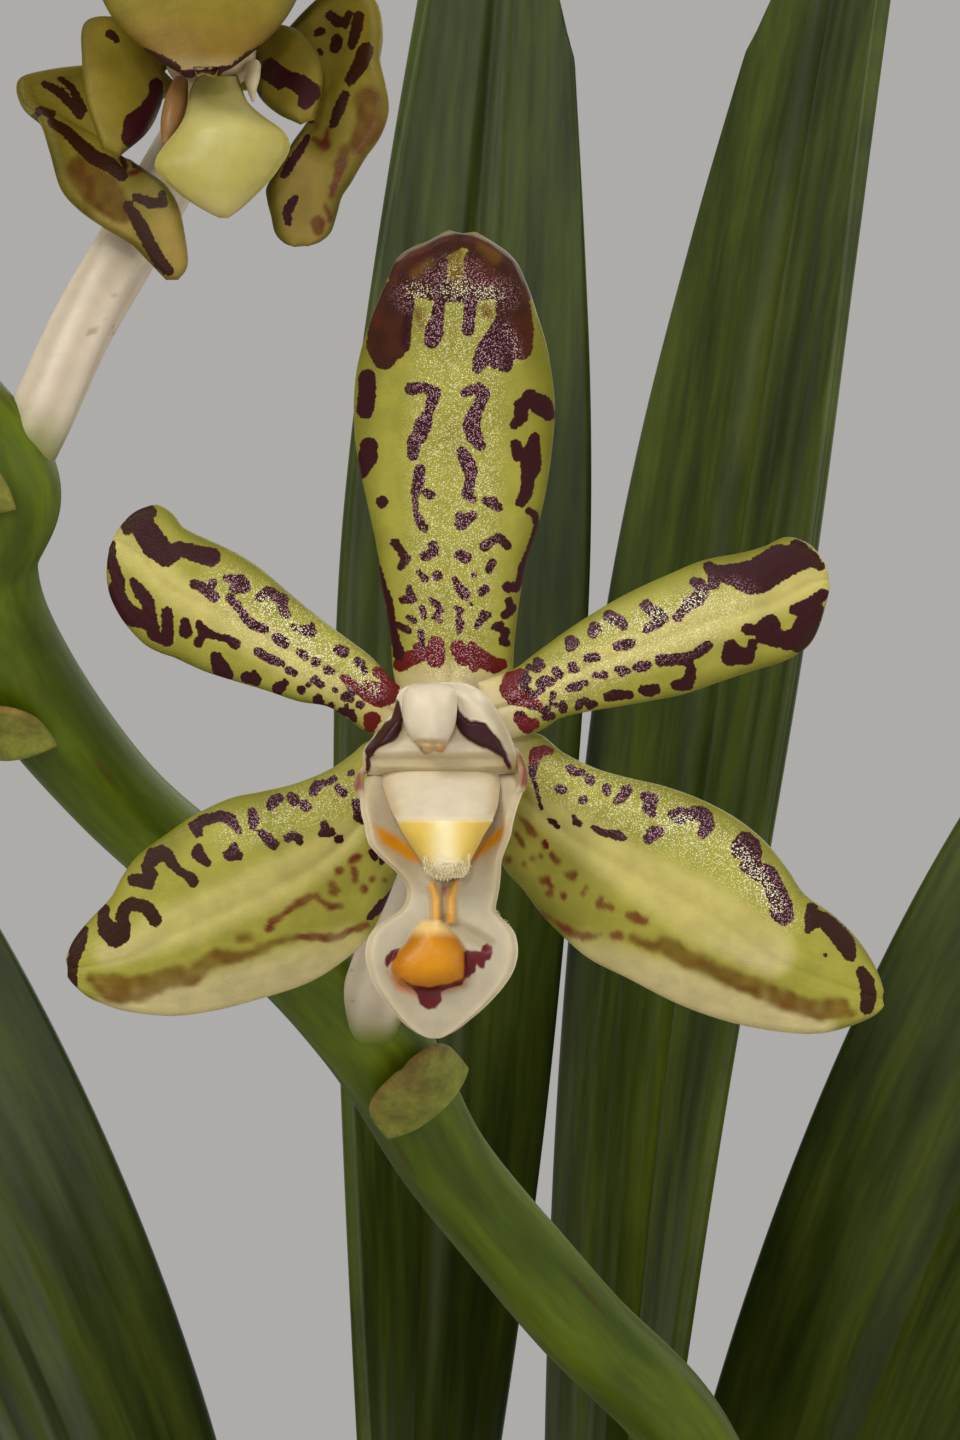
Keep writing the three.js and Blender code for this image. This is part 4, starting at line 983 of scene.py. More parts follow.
def tepal_colours(px, py, u, v, marks, cream, glint):
    """Base colour, mark depth, mark colour and painted glitter for places on a tepal's front."""
    plane = flat(px, py)
    rim = ease(np.abs(v), 0.62, 1.0)[None, :] * ease(u, 0.02, 0.15)[:, None]
    base = wash(YELLOW_GREEN, OLIVE_GREEN, np.clip(0.75 * rim + 0.25 * noise(plane, 55, 3), 0, 1))
    pale = ease(inside_strokes(px, py, cream), -16, 6)
    base = wash(base, CREAM, 0.85 * pale)
    under = pale * ease(py, 925, 975)                    # palest on the underside of the low sepals
    base = wash(base, WARM_WHITE, 0.42 * under)
    throat = 1 - ease(np.hypot(px - 450, 1.05 * (py - 735)), 52, 92)     # whiter round the column
    base = wash(base, WARM_WHITE, 0.8 * throat)
    best = np.full(px.shape, FAR_OUTSIDE)
    tint = np.zeros(px.shape + (3,)) + MAROON
    # painted highlight: how much glitter is painted at each place, from the glint strokes
    shine = ease(inside_strokes(px, py, glint), -14, 14)
    for key, strokes in marks.items():
        depth = inside_strokes(px, py, strokes)
        # painted highlight: the brightest clusters of glitter
        if key == "flash":
            shine = shine + 1.6 * ease(depth, -7, 5)
        # the pale hairy rim along the top, brightened as a painted highlight
        elif key == "silver":
            line = 0.5 * ease(depth, -1.2, 0.8)
            base, tint = wash(base, SILVER_HIGHLIGHT, line), wash(tint, SILVER_HIGHLIGHT, line)
        elif key == "streak":
            tint = wash(tint, OCHRE, 0.6 * ease(depth, -5, 4))
        elif key in SOFT_MARKS:
            fade = SOFT_MARKS[key]
            share = ease(depth + 1.6 * noise(plane, 6, 5), -fade - 1, fade + 1.5)
            patchy = np.clip(0.85 + 0.2 * noise(plane, 9, 8), 0, 1)
            base = wash(base, TINTS[key], share * patchy)
        else:
            ahead = depth > best
            tint[ahead] = TINTS[key]
            # the tip's brown, partly painted shade, mixed with rusty patches
            if key == "sienna":
                tint = wash(tint, RUST, 0.22 * ease(noise(plane, 14, 9), -0.5, 0.7) * ahead)
            best = np.maximum(best, depth)
    return base, best * PHOTO_SCALE, tint, shine


def line_length(points):
    """How long a line through these points is."""
    return np.hypot(*np.diff(np.array(points, float), axis=0).T).sum()


def tepal_sides(surface):
    """Front and back grids of a tepal about a grid of places."""
    one, other = thicken(surface, TEPAL_THICKNESS)
    return (other, one) if one[..., 1].mean() > other[..., 1].mean() else (one, other)


def tepal_mesh(shape, marks, cream, glint, spacing):
    """Places seen from the heart, faces and vertex values of a tepal traced on the photograph."""
    widest = max(math.hypot(a[0] - b[0], a[1] - b[1])
                 for a, b in zip(shape["near"], shape["far"])) * PHOTO_SCALE
    rows = int(line_length(shape["near"]) * PHOTO_SCALE / spacing) + END_PLACES
    columns = int(widest / spacing) + END_PLACES
    surface, u, v = tepal_surface(shape, rows, columns)
    vein = 0.005 * np.cos(v * widest * math.pi / 0.55)[None, :] * ease(u, 0.02, 0.2)[:, None]
    midrib = 0.16 * np.exp(-(v / 0.09) ** 2)[None, :] * (1 - 0.7 * u)[:, None]
    waves = 0.1 * noise(surface, 3.2, len(shape["near"]))
    relief = np.stack([0 * waves, vein + midrib + waves, 0 * waves], axis=-1)
    front, back = (side + relief for side in tepal_sides(surface))
    base, mark, tint, shine = tepal_colours(*to_photo(front), u, v, marks, cream, glint)
    faint = mix(base, PALE, 0.35)
    places = both_sides(front, back)
    values = {"base": both_sides(base, faint), "mark": both_sides(mark, mark),
              "tint": both_sides(tint, mix(faint, tint, 0.45)),
              "glint": both_sides(shine, 0 * shine)}
    return places, turned_out(places, sheet_faces(rows, columns)), values


OPEN_TEPALS = {
    "dorsal_sepal": (DORSAL_SEPAL, DORSAL_MARKS, DORSAL_CREAM, DORSAL_GLINT),
    "petal_left": (PETAL_LEFT, PETAL_LEFT_MARKS, PETAL_LEFT_CREAM, PETAL_LEFT_GLINT),
    "petal_right": (PETAL_RIGHT, PETAL_RIGHT_MARKS, PETAL_RIGHT_CREAM, PETAL_RIGHT_GLINT),
    "lateral_sepal_left": (LATERAL_SEPAL_LEFT, SEPAL_LEFT_MARKS, SEPAL_LEFT_CREAM,
                           SEPAL_LEFT_GLINT),
    "lateral_sepal_right": (LATERAL_SEPAL_RIGHT, SEPAL_RIGHT_MARKS, SEPAL_RIGHT_CREAM,
                            SEPAL_RIGHT_GLINT),
}


# Column, anther cap and lip of an open flower, traced on the photograph
WHITE = linear(211, 197, 170)
WARM_WHITE = linear(202, 185, 149)
TAN = linear(178, 146, 98)
LEMON = linear(218, 184, 84)
ORANGE = linear(200, 132, 6)
# the callus dome's orange in painted shade, for its rounded sides
SHADED_AMBER = linear(170, 104, 2)
# greyish colour of the stigma's slit, darkened as painted shade
STIGMA_SHADE = linear(176, 158, 112)
SHADE_GREEN = linear(146, 132, 92)
LIP_WHITE = linear(176, 165, 139)
LIP_SHADE = linear(158, 145, 116)
DARK_MAROON = linear(50, 8, 14)
BLOOD = linear(92, 18, 18)
NUB_RED = linear(104, 34, 22)

COLUMN_OUTLINE = [
    (430, 683), (448, 682), (464, 683), (478, 689), (491, 701), (502, 718), (511, 737), (517, 755),
    (518, 771), (490, 775), (440, 776), (390, 775), (366, 774), (363, 761), (364, 749), (372, 738),
    (384, 722), (393, 712), (396, 699), (402, 689), (414, 684)]
COLUMN_FRONT = -3.75             # y of the column's face
COLUMN_BACK = [(-2.4, 1.0), (-1.6, 1.0), (-0.6, 0.96), (0.4, 0.86), (1.3, 0.72), (2.2, 0.58)]
CAP_OUTLINE = [
    (430, 683), (444, 684), (453, 687), (457, 697), (457, 712), (455, 726), (450, 737), (446, 746),
    (442, 753), (434, 751), (427, 755), (421, 751), (417, 744), (409, 735), (404, 724), (402, 710),
    (403, 697), (408, 687), (418, 684)]
CAP_FRONT = -4.2
CAP_BULGE = 1.1
WING_LEFT = [
    (398, 699), (401, 706), (403, 720), (402, 730), (399, 737), (393, 742), (384, 746), (377, 750),
    (374, 755), (370, 759), (371, 764), (370, 771), (367, 775), (365, 771), (366, 762), (365, 754),
    (364, 750), (366, 746), (372, 740), (378, 731), (384, 722), (391, 719), (394, 708), (396, 700)]
WING_RIGHT = [
    (455, 698), (457, 701), (460, 710), (464, 716), (470, 721), (475, 720), (480, 721), (486, 723),
    (490, 729), (497, 736), (501, 742), (507, 753), (510, 762), (512, 767), (512, 771), (508, 769),
    (504, 762), (502, 757), (497, 755), (489, 750), (480, 747), (470, 742), (463, 737), (457, 729),
    (454, 720), (453, 710), (453, 700)]

TONGUE_ROWS = [  # y of the photograph, left and right edge there, and depth
    (767, 374, 504, -2.9), (774, 378, 502, -3.3), (790, 384, 500, -4.35), (805, 389, 498, -5.3),
    (814, 393, 495, -5.85), (819, 396, 493, -6.15), (821, 397, 493, -6.28), (824, 398, 491, -6.3),
    (835, 404, 484, -6.28), (847, 412, 478, -6.2), (858, 419, 472, -6.1), (866, 424, 469, -6.0),
    (873, 428, 467, -5.8), (878, 433, 462, -5.4)]
LIP_ROWS = [  # y of the photograph, left and right edge, depth at the middle, rim and back
    (773, 368, 518, -2.2, -2.6, -1.3), (778, 366, 520, -2.5, -3.1, -0.9),
    (790, 361, 523, -2.8, -3.7, -0.5),
    (800, 360, 520, -3.1, -4.1, -0.4), (812, 361, 516, -3.4, -4.4, -0.3),
    (824, 364, 513, -3.6, -4.6, -0.3), (835, 366, 511, -3.8, -4.75, -0.5),
    (846, 370, 507, -4.0, -4.85, -0.8), (860, 383, 502, -4.2, -4.85, -1.2),
    (872, 396, 501, -4.35, -4.7, -1.6), (884, 405, 500, -4.5, -4.5, -2.0),
    (896, 407, 498, -4.55, -4.4, -2.3), (909, 401, 496, -4.7, -4.5, -2.6),
    (918, 389, 502, -4.8, -4.7, -2.8), (926, 377, 510, -4.9, -4.9, -2.9),
    (936, 369, 516, -4.95, -5.1, -3.1), (953, 365, 518, -5.0, -5.3, -3.3),
    (970, 368, 514, -5.0, -5.4, -3.5), (985, 374, 505, -5.05, -5.4, -3.6),
    (998, 382, 494, -5.1, -5.35, -3.7), (1010, 391, 482, -5.1, -5.25, -3.8),
    (1020, 400, 470, -5.1, -5.15, -4.0), (1028, 409, 460, -5.05, -5.05, -4.1),
    (1034, 418, 450, -5.0, -5.0, -4.2), (1037, 425, 444, -4.95, -4.95, -4.3),
    (1038.5, 430, 439, -4.9, -4.9, -4.4)]
DOME = [(421, 920), (441, 920), (449, 929), (457, 937), (466, 950), (468, 968), (463, 982),
        (446, 988), (428, 990), (410, 988), (397, 982), (390, 968), (396, 953), (406, 943),
        (413, 931)]
LIP_MAROON = [
    [(400, 948), (391, 950), (386, 957), (384, 963), (387, 968), (391, 963), (397, 956)],
    [(464, 950), (472, 951), (480, 951), (483, 946), (487, 943), (492, 947), (493, 954), (490, 960),
     (486, 961), (484, 969), (479, 968), (477, 964), (475, 972), (469, 977), (463, 980)],
    [(400, 978), (412, 985), (430, 987), (450, 983), (466, 977), (462, 985), (446, 990), (441, 992),
     (442, 1001), (436, 1008), (428, 1010), (420, 1004), (417, 994), (411, 988)]]
ORANGE_SIDES = [
    [(374, 826), (384, 829), (397, 836), (410, 846), (422, 862), (410, 861), (396, 852),
     (382, 844)],
    [(505, 826), (497, 829), (487, 838), (478, 848), (470, 862), (481, 856), (492, 848),
     (501, 840)]]
PADS = [[(432, 886, 4), (436, 900, 5), (436, 918, 5)], [(455, 884, 4), (451, 900, 5),
                                                        (451, 920, 5)]]
PAD_GROOVE = [[(444, 872, 2), (444, 918, 4)]]
HALO = [(388, 972), (396, 990), (416, 996), (446, 993), (466, 986), (466, 978), (430, 986),
        (398, 980)]
FRINGE_LINE = [(424, 866), (429, 873), (436, 877), (446, 878), (456, 877), (466, 873), (470, 864)]
MARGIN_LINE = [(494, 908), (500, 917), (507, 923), (513, 931)]
COLUMN_MIDDLE = (436.0, 738.0)
CAP_MIDDLE = (430.0, 716.0)
CAP_BACK = ((-4.0, 1.0), (-3.7, 0.9), (-3.4, 0.7))
CAP_KEEL = 0.12
BACK_WIDTH = 0.985               # how wide the back of a lip is beside its front
UNMARKED = -2.0                  # mark depth of places that have no mark near them


def closed_line(corners, count):
    """Evenly spaced places on a smooth closed line through the corners."""
    p = np.array(corners + corners[:3], float)
    steps = FINENESS * len(p)
    start = steps // (len(p) - 1)
    stop = start + len(corners) * steps // (len(p) - 1)
    fine = spline(p, np.linspace(0, 1, steps))[start:stop + 1]
    run = np.concatenate([[0], np.cumsum(np.hypot(*np.diff(fine, axis=0).T))])
    at = np.linspace(0, run[-1], count, endpoint=False)
    return np.stack([np.interp(at, run, fine[:, k]) for k in (0, 1)], axis=-1)


def disc(outline, centre, rings, sides):
    """Pixels of a disc-like grid inside an outline, from just round its centre out to it."""
    border = closed_line(outline, sides)
    share = np.linspace(1 / rings, 1, rings)[:, None, None]
    return np.array(centre) + (border - np.array(centre))[None] * share, share[..., 0]


def rings_behind(border, steps):
    """Copies of a border further back, each at a y and scaled about the border's middle."""
    middle = border.mean(axis=0)
    rings = []
    for y, size in steps:
        ring = middle + (border - middle) * size
        ring[:, 1] = y
        rings.append(ring)
    return np.stack(rings)


def paint_shapes(px, py, base, shapes, colour, fade, strength=1.0):
    """Base colours with soft-edged patches of another colour laid over."""
    return wash(base, colour, strength * ease(inside_shapes(px, py, shapes), -fade, fade))


def paint_strokes(px, py, base, strokes, colour, fade, strength=1.0):
    return wash(base, colour, strength * ease(inside_strokes(px, py, strokes), -fade, fade))


def mark_depth(px, py, shapes):
    """The same depth in mm, for the mark value of a mesh."""
    return inside_shapes(px, py, shapes) * PHOTO_SCALE


def unmarked(base):
    """Vertex values of flesh that has these colours and no marks."""
    return {"base": base, "mark": np.full(base.shape[:-1], UNMARKED), "tint": base}


def poled(values):
    """Vertex values of a mesh of rings from those of its rings and sides."""
    return {key: with_poles(array) for key, array in values.items()}


def column_mesh(rings, sides):
    grid, share = disc(COLUMN_OUTLINE, COLUMN_MIDDLE, rings, sides)
    px, py = grid[..., 0], grid[..., 1]
    wings = mark_depth(px, py, [WING_LEFT, WING_RIGHT])
    slit = ease(py, 750, 760) * (1 - ease(py, 768, 775))
    depth = COLUMN_FRONT + 1.0 * ease(share, 0.72, 1.0) ** 2 + 0 * px
    depth = depth - 0.3 * ease(wings, -0.08, 0.14)
    depth = depth + 0.34 * slit * (1 - ease(np.abs(px - 436), 62, 74))
    depth = depth + 0.25 * ease(np.abs(px - 430), 40, 12) * (1 - ease(py, 735, 745))
    front = from_photo(px, py, depth)
    places = np.concatenate([front, rings_behind(front[-1], COLUMN_BACK)])
    mesh, faces = close_rings(places, from_photo(*COLUMN_MIDDLE, COLUMN_FRONT))
    qx, qy = to_photo(places)
    qx[:rings], qy[:rings] = px, py
    base = WHITE + 0 * places
    base = wash(base, WARM_WHITE, 0.5 * ease(noise(places, 1.2, 2), -0.6, 0.8))
    # the stigma's slit: its own greyer colour, deepened by painted shade in the recess
    base = wash(base, STIGMA_SHADE, 0.7 * (ease(qy, 750, 759) * (1 - ease(qy, 768, 775))))
    base = wash(base, SHADE_GREEN, 0.4 * ease(qx - 0.3 * (qy - 700), 478, 500))
    base = wash(base, TAN, 0.6 * ease(np.abs(qx - 436), 62, 74) * ease(qy, 750, 765))
    mark = np.maximum(mark_depth(qx, qy, [WING_LEFT, WING_RIGHT]), UNMARKED)
    mark[rings:] = UNMARKED
    return mesh, faces, poled({"base": base, "mark": mark, "tint": DARK_MAROON + 0 * places})


def cap_mesh(rings=30, sides=110):
    grid, share = disc(CAP_OUTLINE, CAP_MIDDLE, rings, sides)
    px, py = grid[..., 0], grid[..., 1]
    depth = CAP_FRONT - CAP_BULGE * np.sqrt(np.clip(1 - share ** 2.6, 0, 1)) + 0 * px
    depth = depth - CAP_KEEL * np.exp(-((px - 432) / 7) ** 2) * (1 - share)
    depth = depth + 0.22 * ease(py, 738, 741) * (1 - ease(py, 742, 746)) + 0.1 * ease(py, 746, 752)
    front = from_photo(px, py, depth)
    places = np.concatenate([front, rings_behind(front[-1], CAP_BACK)])
    mesh, faces = close_rings(places, from_photo(*CAP_MIDDLE, CAP_FRONT - CAP_BULGE - CAP_KEEL))
    qx, qy = to_photo(places)
    base = wash(WHITE + 0 * places, TAN, 0.9 * ease(qy, 738, 743))
    base = paint_strokes(qx, qy, base, [[(420, 746, 1), (422, 752, 1.4), (427, 754, 1)]],
                         linear(120, 92, 44), 1.5, 0.8)
    base = paint_strokes(qx, qy, base, [[(438, 752, 1.5), (443, 751, 1.6), (446, 746, 1)]],
                         linear(190, 104, 44), 2.0, 0.9)
    return mesh, faces, poled(unmarked(base))


def rows_read(rows, count):
    """Row values at evenly spaced places down a list of rows, as columns."""
    table = evenly(np.array(rows, float), np.linspace(0, 1, count))
    return (table[:, k][:, None] for k in range(table.shape[1]))


def crowded(columns, power):
    """Shares from -1 to 1 across a sheet, closer together toward its edges."""
    t = np.linspace(-1, 1, columns)
    return (np.sign(t) * (1 - (1 - np.abs(t)) ** power))[None]


def back_shares(columns):
    """Shares from 1 to -1 across the back of a sheet, without its edges."""
    return np.linspace(1, -1, columns + 2)[1:-1][None]


def across(left, right, share, width=1.0):
    return (left + right) / 2 + (right - left) / 2 * share * width


def sheet_rings(py, front, back):
    """Rings round a sheet of rows down the photograph, from the x and depth of both its sides."""
    return np.concatenate([from_photo(px, py + 0 * px, y) for px, y in (front, back)], axis=1)


def tongue_mesh(count, front_columns, back_columns):
    py, left, right, depth = rows_read(TONGUE_ROWS, count)
    s, behind = crowded(front_columns, 1.35), back_shares(back_columns)
    px = across(left, right, s)
    y = depth + 0.75 * np.abs(s) ** 5 + 0.12 * np.abs(s) ** 2
    upper = 1 - ease(py, 816, 821)
    y = y - 0.12 * upper * np.cos(s * math.pi / 2)
    y = y + 0.10 * (1 - upper) * np.exp(-(s / 0.3) ** 2) * ease(py, 822, 850)
    y = y + 0.05 * ease(py, 850, 868) * noise(flat(px, py), 2.2, 4)
    rings = sheet_rings(py, (px, y), (across(left, right, behind, 0.98),
                                      np.minimum(depth + 0.75 + 1.1 * (1 - behind ** 4), -1.8)))
    places, faces = close_rings(rings)
    qx, qy = to_photo(rings)
    rel = np.clip(np.abs((qx - (left + right) / 2) / ((right - left) / 2)), 0, 1)
    base = wash(WHITE + 0 * rings, WARM_WHITE, 0.5 * ease(rel, 0.3, 0.9))
    base = wash(base, TAN, 0.6 * ease(rel, 0.72, 1.0) * (1 - ease(qy, 812, 819)))
    base = wash(base, linear(222, 202, 150), 0.5 * (1 - ease(qy, 770, 782)))
    yellow = wash(LEMON + 0 * rings, linear(240, 226, 178), 0.95 * np.exp(-((qx - 445) / 13) ** 2))
    base = wash(base, yellow, ease(qy, 818, 824) * (1 - 0.7 * ease(qy, 852, 868)))
    base = wash(base, linear(208, 190, 132), 0.5 * ease(qy, 868, 877))
    return places, faces, poled(unmarked(base))


def lip_blade_mesh(count, front_columns, back_columns):
    py, left, right, mid, rim, behind = rows_read(LIP_ROWS, count)
    s, share = crowded(front_columns, 1.3), back_shares(back_columns)
    px = across(left, right, s)
    plane = flat(px, py)
    fx, fy = plane[..., 0], plane[..., 1]
    y = mix(mid, rim, np.abs(s) ** 2.2) + 0.34 * ease(np.abs(s), 0.86, 1.0) ** 2
    y = y - 1.0 * np.sqrt(1 - (1 - np.clip(inside_shape(fx, fy, DOME) / 24, 0, 1)) ** 2)
    y = y - 0.34 * ease(inside_strokes(fx, fy, PADS), -3, 4)
    y = y + 0.12 * ease(inside_strokes(fx, fy, PAD_GROOVE), -2, 3)
    crease = inside_strokes(fx, fy, [[(446, 921, 1), (466, 931, 1), (488, 944, 1)]])
    y = y + 0.16 * ease(crease, -9, 1)
    y = y + 0.05 * noise(plane, 26, 9)
    rings = sheet_rings(py, (px, y), (across(left, right, share, BACK_WIDTH),
                                      mix(behind, rim + 0.42, np.abs(share) ** 3)))
    places, faces = close_rings(rings)
    qx, qy = to_photo(rings)
    is_front = np.arange(rings.shape[1])[None] < front_columns
    base = wash(LIP_WHITE + 0 * rings, LIP_SHADE, 0.6 * ease(noise(rings, 1.6, 6), -0.3, 0.9))
    # painted highlight: the blade is lighter along its rounded edges
    margin = np.minimum(qx - lip_edge(qy, 1), lip_edge(qy, 2) - qx)
    base = wash(mix(base, WARM_WHITE, 0.6), base, ease(margin, 1, 16))
    base = wash(base, TAN, 0.25 * (1 - ease(qy, 868, 900)))
    shadow = inside_strokes(qx, qy, [[(446, 922, 2), (466, 932, 3), (486, 946, 1)]])
    base = wash(base, SHADE_GREEN, 0.5 * ease(shadow, -14, 2) * is_front)
    painted = paint_shapes(qx, qy, base, ORANGE_SIDES, ORANGE, 5)
    painted = paint_strokes(qx, qy, painted, PADS, linear(208, 150, 52), 3.5, 0.9)
    painted = paint_strokes(qx, qy, painted, [[(444, 888, 2), (444, 894, 1)]],
                            linear(176, 96, 60), 2.5)
    inside = inside_shape(qx, qy, DOME)
    # painted shade: the dome's orange darkens toward its rounded sides
    dome = wash(ORANGE + 0 * rings, SHADED_AMBER, ease(24 - inside, 0, 24))
    dome = wash(dome, linear(226, 196, 128), 0.85 * (1 - ease(qy, 927, 940)))
    painted = wash(painted, dome, ease(inside, -2, 2))
    halo = paint_shapes(qx, qy, painted, [HALO], linear(178, 96, 30), 4, 0.75)
    painted = np.where((inside < 0)[..., None], halo, painted)
    mark = np.where(is_front, mark_depth(qx, qy, LIP_MAROON), UNMARKED)
    return places, faces, poled({"base": np.where(is_front[..., None], painted, base),
                                 "mark": mark, "tint": BLOOD + 0 * rings})


def lip_edge(py, column):
    """x of the lip's left or right edge at a height of the photograph."""
    return np.interp(py, [row[0] for row in LIP_ROWS], [row[column] for row in LIP_ROWS])


def lobe(points, radii, rows, sides):
    """A small round-ended lobe, from places of the photograph with depths."""
    line = np.array([from_photo(float(x), float(y), depth) for x, y, depth in points])
    return tube(line, radii, rows, sides)[:2]


def side_lobe_mesh(points, radii, red):
    """One upright lobe beside the lip's tongue."""
    places, faces = lobe(points, radii, 26, 20)
    base = mix(TAN + 0 * places, WARM_WHITE, 0.5)
    base = paint_strokes(*to_photo(places), base, [red], NUB_RED, 5, 0.9)
    return places, faces, unmarked(base)


def hairs(random, count, place_of, way_of, lengths, width, colour):
    roots = [place_of(random.random(), random.random()) for _ in range(count)]
    ways = [way_of(random.random(), random.random()) for _ in range(count)]
    sizes = [mix(*lengths, random.random()) for _ in range(count)]
    places, faces = cone_tuft(roots, ways, sizes, width)
    return places, faces, unmarked(colour + 0 * places)


def lip_mesh(detail):
    random = np.random.RandomState(5)

    def line_place(line, share):
        return evenly(np.array(line, float), np.array([share]))[0]

    def tip_place(a, b):
        at = line_place(FRINGE_LINE, a)
        return from_photo(at[0], at[1] - 15 * b * b, -5.7 - 0.35 * b)

    def tip_way(a, b):
        return np.array([1.3 * (a - 0.5) + 0.3 * math.sin(37 * a), -0.55 - 0.5 * b, -0.9])

    def margin_place(a, b):
        at = line_place(MARGIN_LINE, a)
        return from_photo(at[0] - 1.5, at[1], -4.5)

    def margin_way(a, b):
        return np.array([1, -0.4, 0.7 * (a - 0.2)])

    return join_meshes([
        lip_blade_mesh(*(int(n * detail) for n in (190, 110, 28))),
        tongue_mesh(*(int(n * detail) for n in (110, 70, 16))),
        side_lobe_mesh([(516, 750, -2.5), (521, 762, -2.8), (523, 775, -3.1), (521, 787, -3.3),
                        (515, 795, -3.4)], [0.1, 0.17, 0.22, 0.22, 0.16],
                       [(520, 756, 4), (525, 768, 4), (524, 782, 6)]),
        side_lobe_mesh([(364, 768, -2.5), (360, 777, -2.8), (359, 786, -3.1), (363, 796, -3.4)],
                       [0.1, 0.18, 0.22, 0.2], [(359, 775, 3), (358, 787, 5)]),
        hairs(random, 300, tip_place, tip_way, (0.1, 0.26), 0.017, linear(252, 240, 196)),
        hairs(random, 14, margin_place, margin_way, (0.1, 0.22), 0.02, WHITE)])


# The half-open flower

HOOD = {
    "near": [(-12.6, 29.6), (-14.8, 33.4), (-15.4, 34.8), (-15.5, 33.2), (-14.2, 30), (-11.8, 27.8),
             (-10.7, 27.5)],
    "far": [(-9, 29.6), (-6.6, 33.4), (-5.7, 34.8), (-5.6, 33.2), (-6.8, 30), (-8.9, 27.8),
            (-9.8, 27.5)],
    "depth": [4.2, 4, 1.8, -1.6, -4.2, -5.4, -5.6],
    "curl": ([-0.3, 0, 1, 1.6, 1.2, 0.5, 0.1], [-0.3, 0, 1, 1.6, 1.2, 0.5, 0.1]),
}
YOUNG_PETAL_LEFT = {
    "near": [(160, 30), (112, 18), (84, 24), (82, 60), (87, 102), (102, 148)],
    "far": [(176, 62), (163, 74), (163, 92), (158, 112), (146, 134), (120, 156)],
    "depth": [2.6, 1.6, 0.6, -0.6, -1.4, -2], "curl": ([0, 0.2, 0.5, 0.6, 0.4, 0], [0, 0.2, 0.3,
                                                                                    0.3, 0, 0]),
}
YOUNG_PETAL_RIGHT = {
    "near": [(246, 26), (290, 28), (316, 50), (323, 78), (319, 104), (314, 118)],
    "far": [(228, 63), (258, 66), (256, 84), (262, 100), (278, 114), (300, 124)],
    "depth": [2.6, 1.6, 0.4, -0.8, -1.5, -2], "curl": ([0, 0.2, 0.5, 0.6, 0.4, 0], [0, 0.2, 0.3,
                                                                                    0.3, 0, 0]),
}
YOUNG_SEPAL_LEFT = {
    "near": [(154, 62), (85, 66), (40, 72), (19, 80), (22, 100), (40, 118), (50, 150), (60, 186),
             (76, 206), (100, 224), (130, 243), (145, 258), (166, 280)],
    "far": [(181, 90), (150, 105), (125, 128), (118, 150), (135, 165), (160, 180), (172, 192),
            (180, 210), (185, 235), (188, 258), (186, 270), (178, 280)],
    "depth": [4, 2.6, 1.4, 0.4, -0.4, -0.8, -0.8],
    "curl": ([0, -0.9, -1, -0.8, -0.5, -0.2, 0], [0, -0.4, -0.6, -0.5, -0.3, -0.1, 0]),
}
YOUNG_SEPAL_RIGHT = {
    "near": [(255, 62), (318, 0), (350, -18), (374, 0), (380, 30), (378, 56), (385, 85), (388, 108),
             (381, 132), (366, 155), (352, 180), (342, 196), (337, 214), (331, 232), (320, 242),
             (308, 246)],
    "far": [(228, 90), (268, 88), (300, 78), (316, 88), (316, 108), (304, 127), (292, 143),
            (281, 164), (267, 186), (267, 200), (271, 216), (275, 233), (284, 243), (294, 247)],
    "depth": [4, 3.2, 2.4, 1.4, 0.4, -0.4, -0.8, -0.8],
    "curl": ([0, -0.7, -1, -1, -0.8, -0.5, -0.2, 0], [0, -0.3, -0.5, -0.6, -0.5, -0.3, -0.1, 0]),
}
HOOD_MARKS = {
    "brown": [[(146, 54, 5), (160, 62, 7), (174, 69, 6)], [(238, 66, 5), (252, 58, 7),
                                                           (266, 49, 5)]],
    "maroon": [[(186, 75, 5), (198, 77, 6), (206, 73, 4)], [(214, 73, 5), (230, 71, 5)]],
}
YOUNG_PETAL_LEFT_MARKS = {
    "maroon": [[(156, 85, 6), (156, 98, 7), (146, 112, 8), (136, 124, 12), (131, 138, 9)]],
    "brown": [[(110, 34, 4), (116, 39, 3)]],
}
YOUNG_PETAL_RIGHT_MARKS = {
    "maroon": [[(270, 66, 7), (284, 77, 7), (300, 84, 9), (311, 92, 9), (305, 102, 7)],
               [(262, 73, 4), (280, 84, 5)]],
    "brown": [(258, 94, 3)],
}
YOUNG_SEPAL_LEFT_MARKS = {
    "brown": [
        [(45, 84, 3), (60, 92, 4), (72, 105, 4), (80, 116, 3)], [(60, 78, 2), (72, 88, 3),
                                                                 (84, 110, 3)],
        [(40, 111, 4), (52, 113, 3)],
        [(52, 122, 4), (65, 130, 5), (80, 145, 6), (95, 158, 7), (110, 165, 7), (122, 176, 5)],
        [(128, 205, 4), (140, 225, 6), (150, 245, 6), (160, 262, 6), (168, 270, 5)],
        [(136, 197, 3), (150, 203, 5), (163, 203, 4), (162, 194, 3)],
        [(122, 156, 2), (125, 168, 2)], [(131, 154, 2), (135, 166, 2)], [(140, 152, 2),
                                                                         (145, 163, 2)],
        [(149, 153, 2), (154, 162, 2)]],
    "rust": [[(118, 160, 3), (128, 166, 3)], [(126, 155, 2), (133, 163, 2)],
             [(145, 152, 3), (158, 158, 3)], [(130, 173, 3), (140, 170, 2), (150, 168, 2)]],
    "ochre": [[(80, 170, 14), (100, 190, 20), (120, 210, 14)]],
}
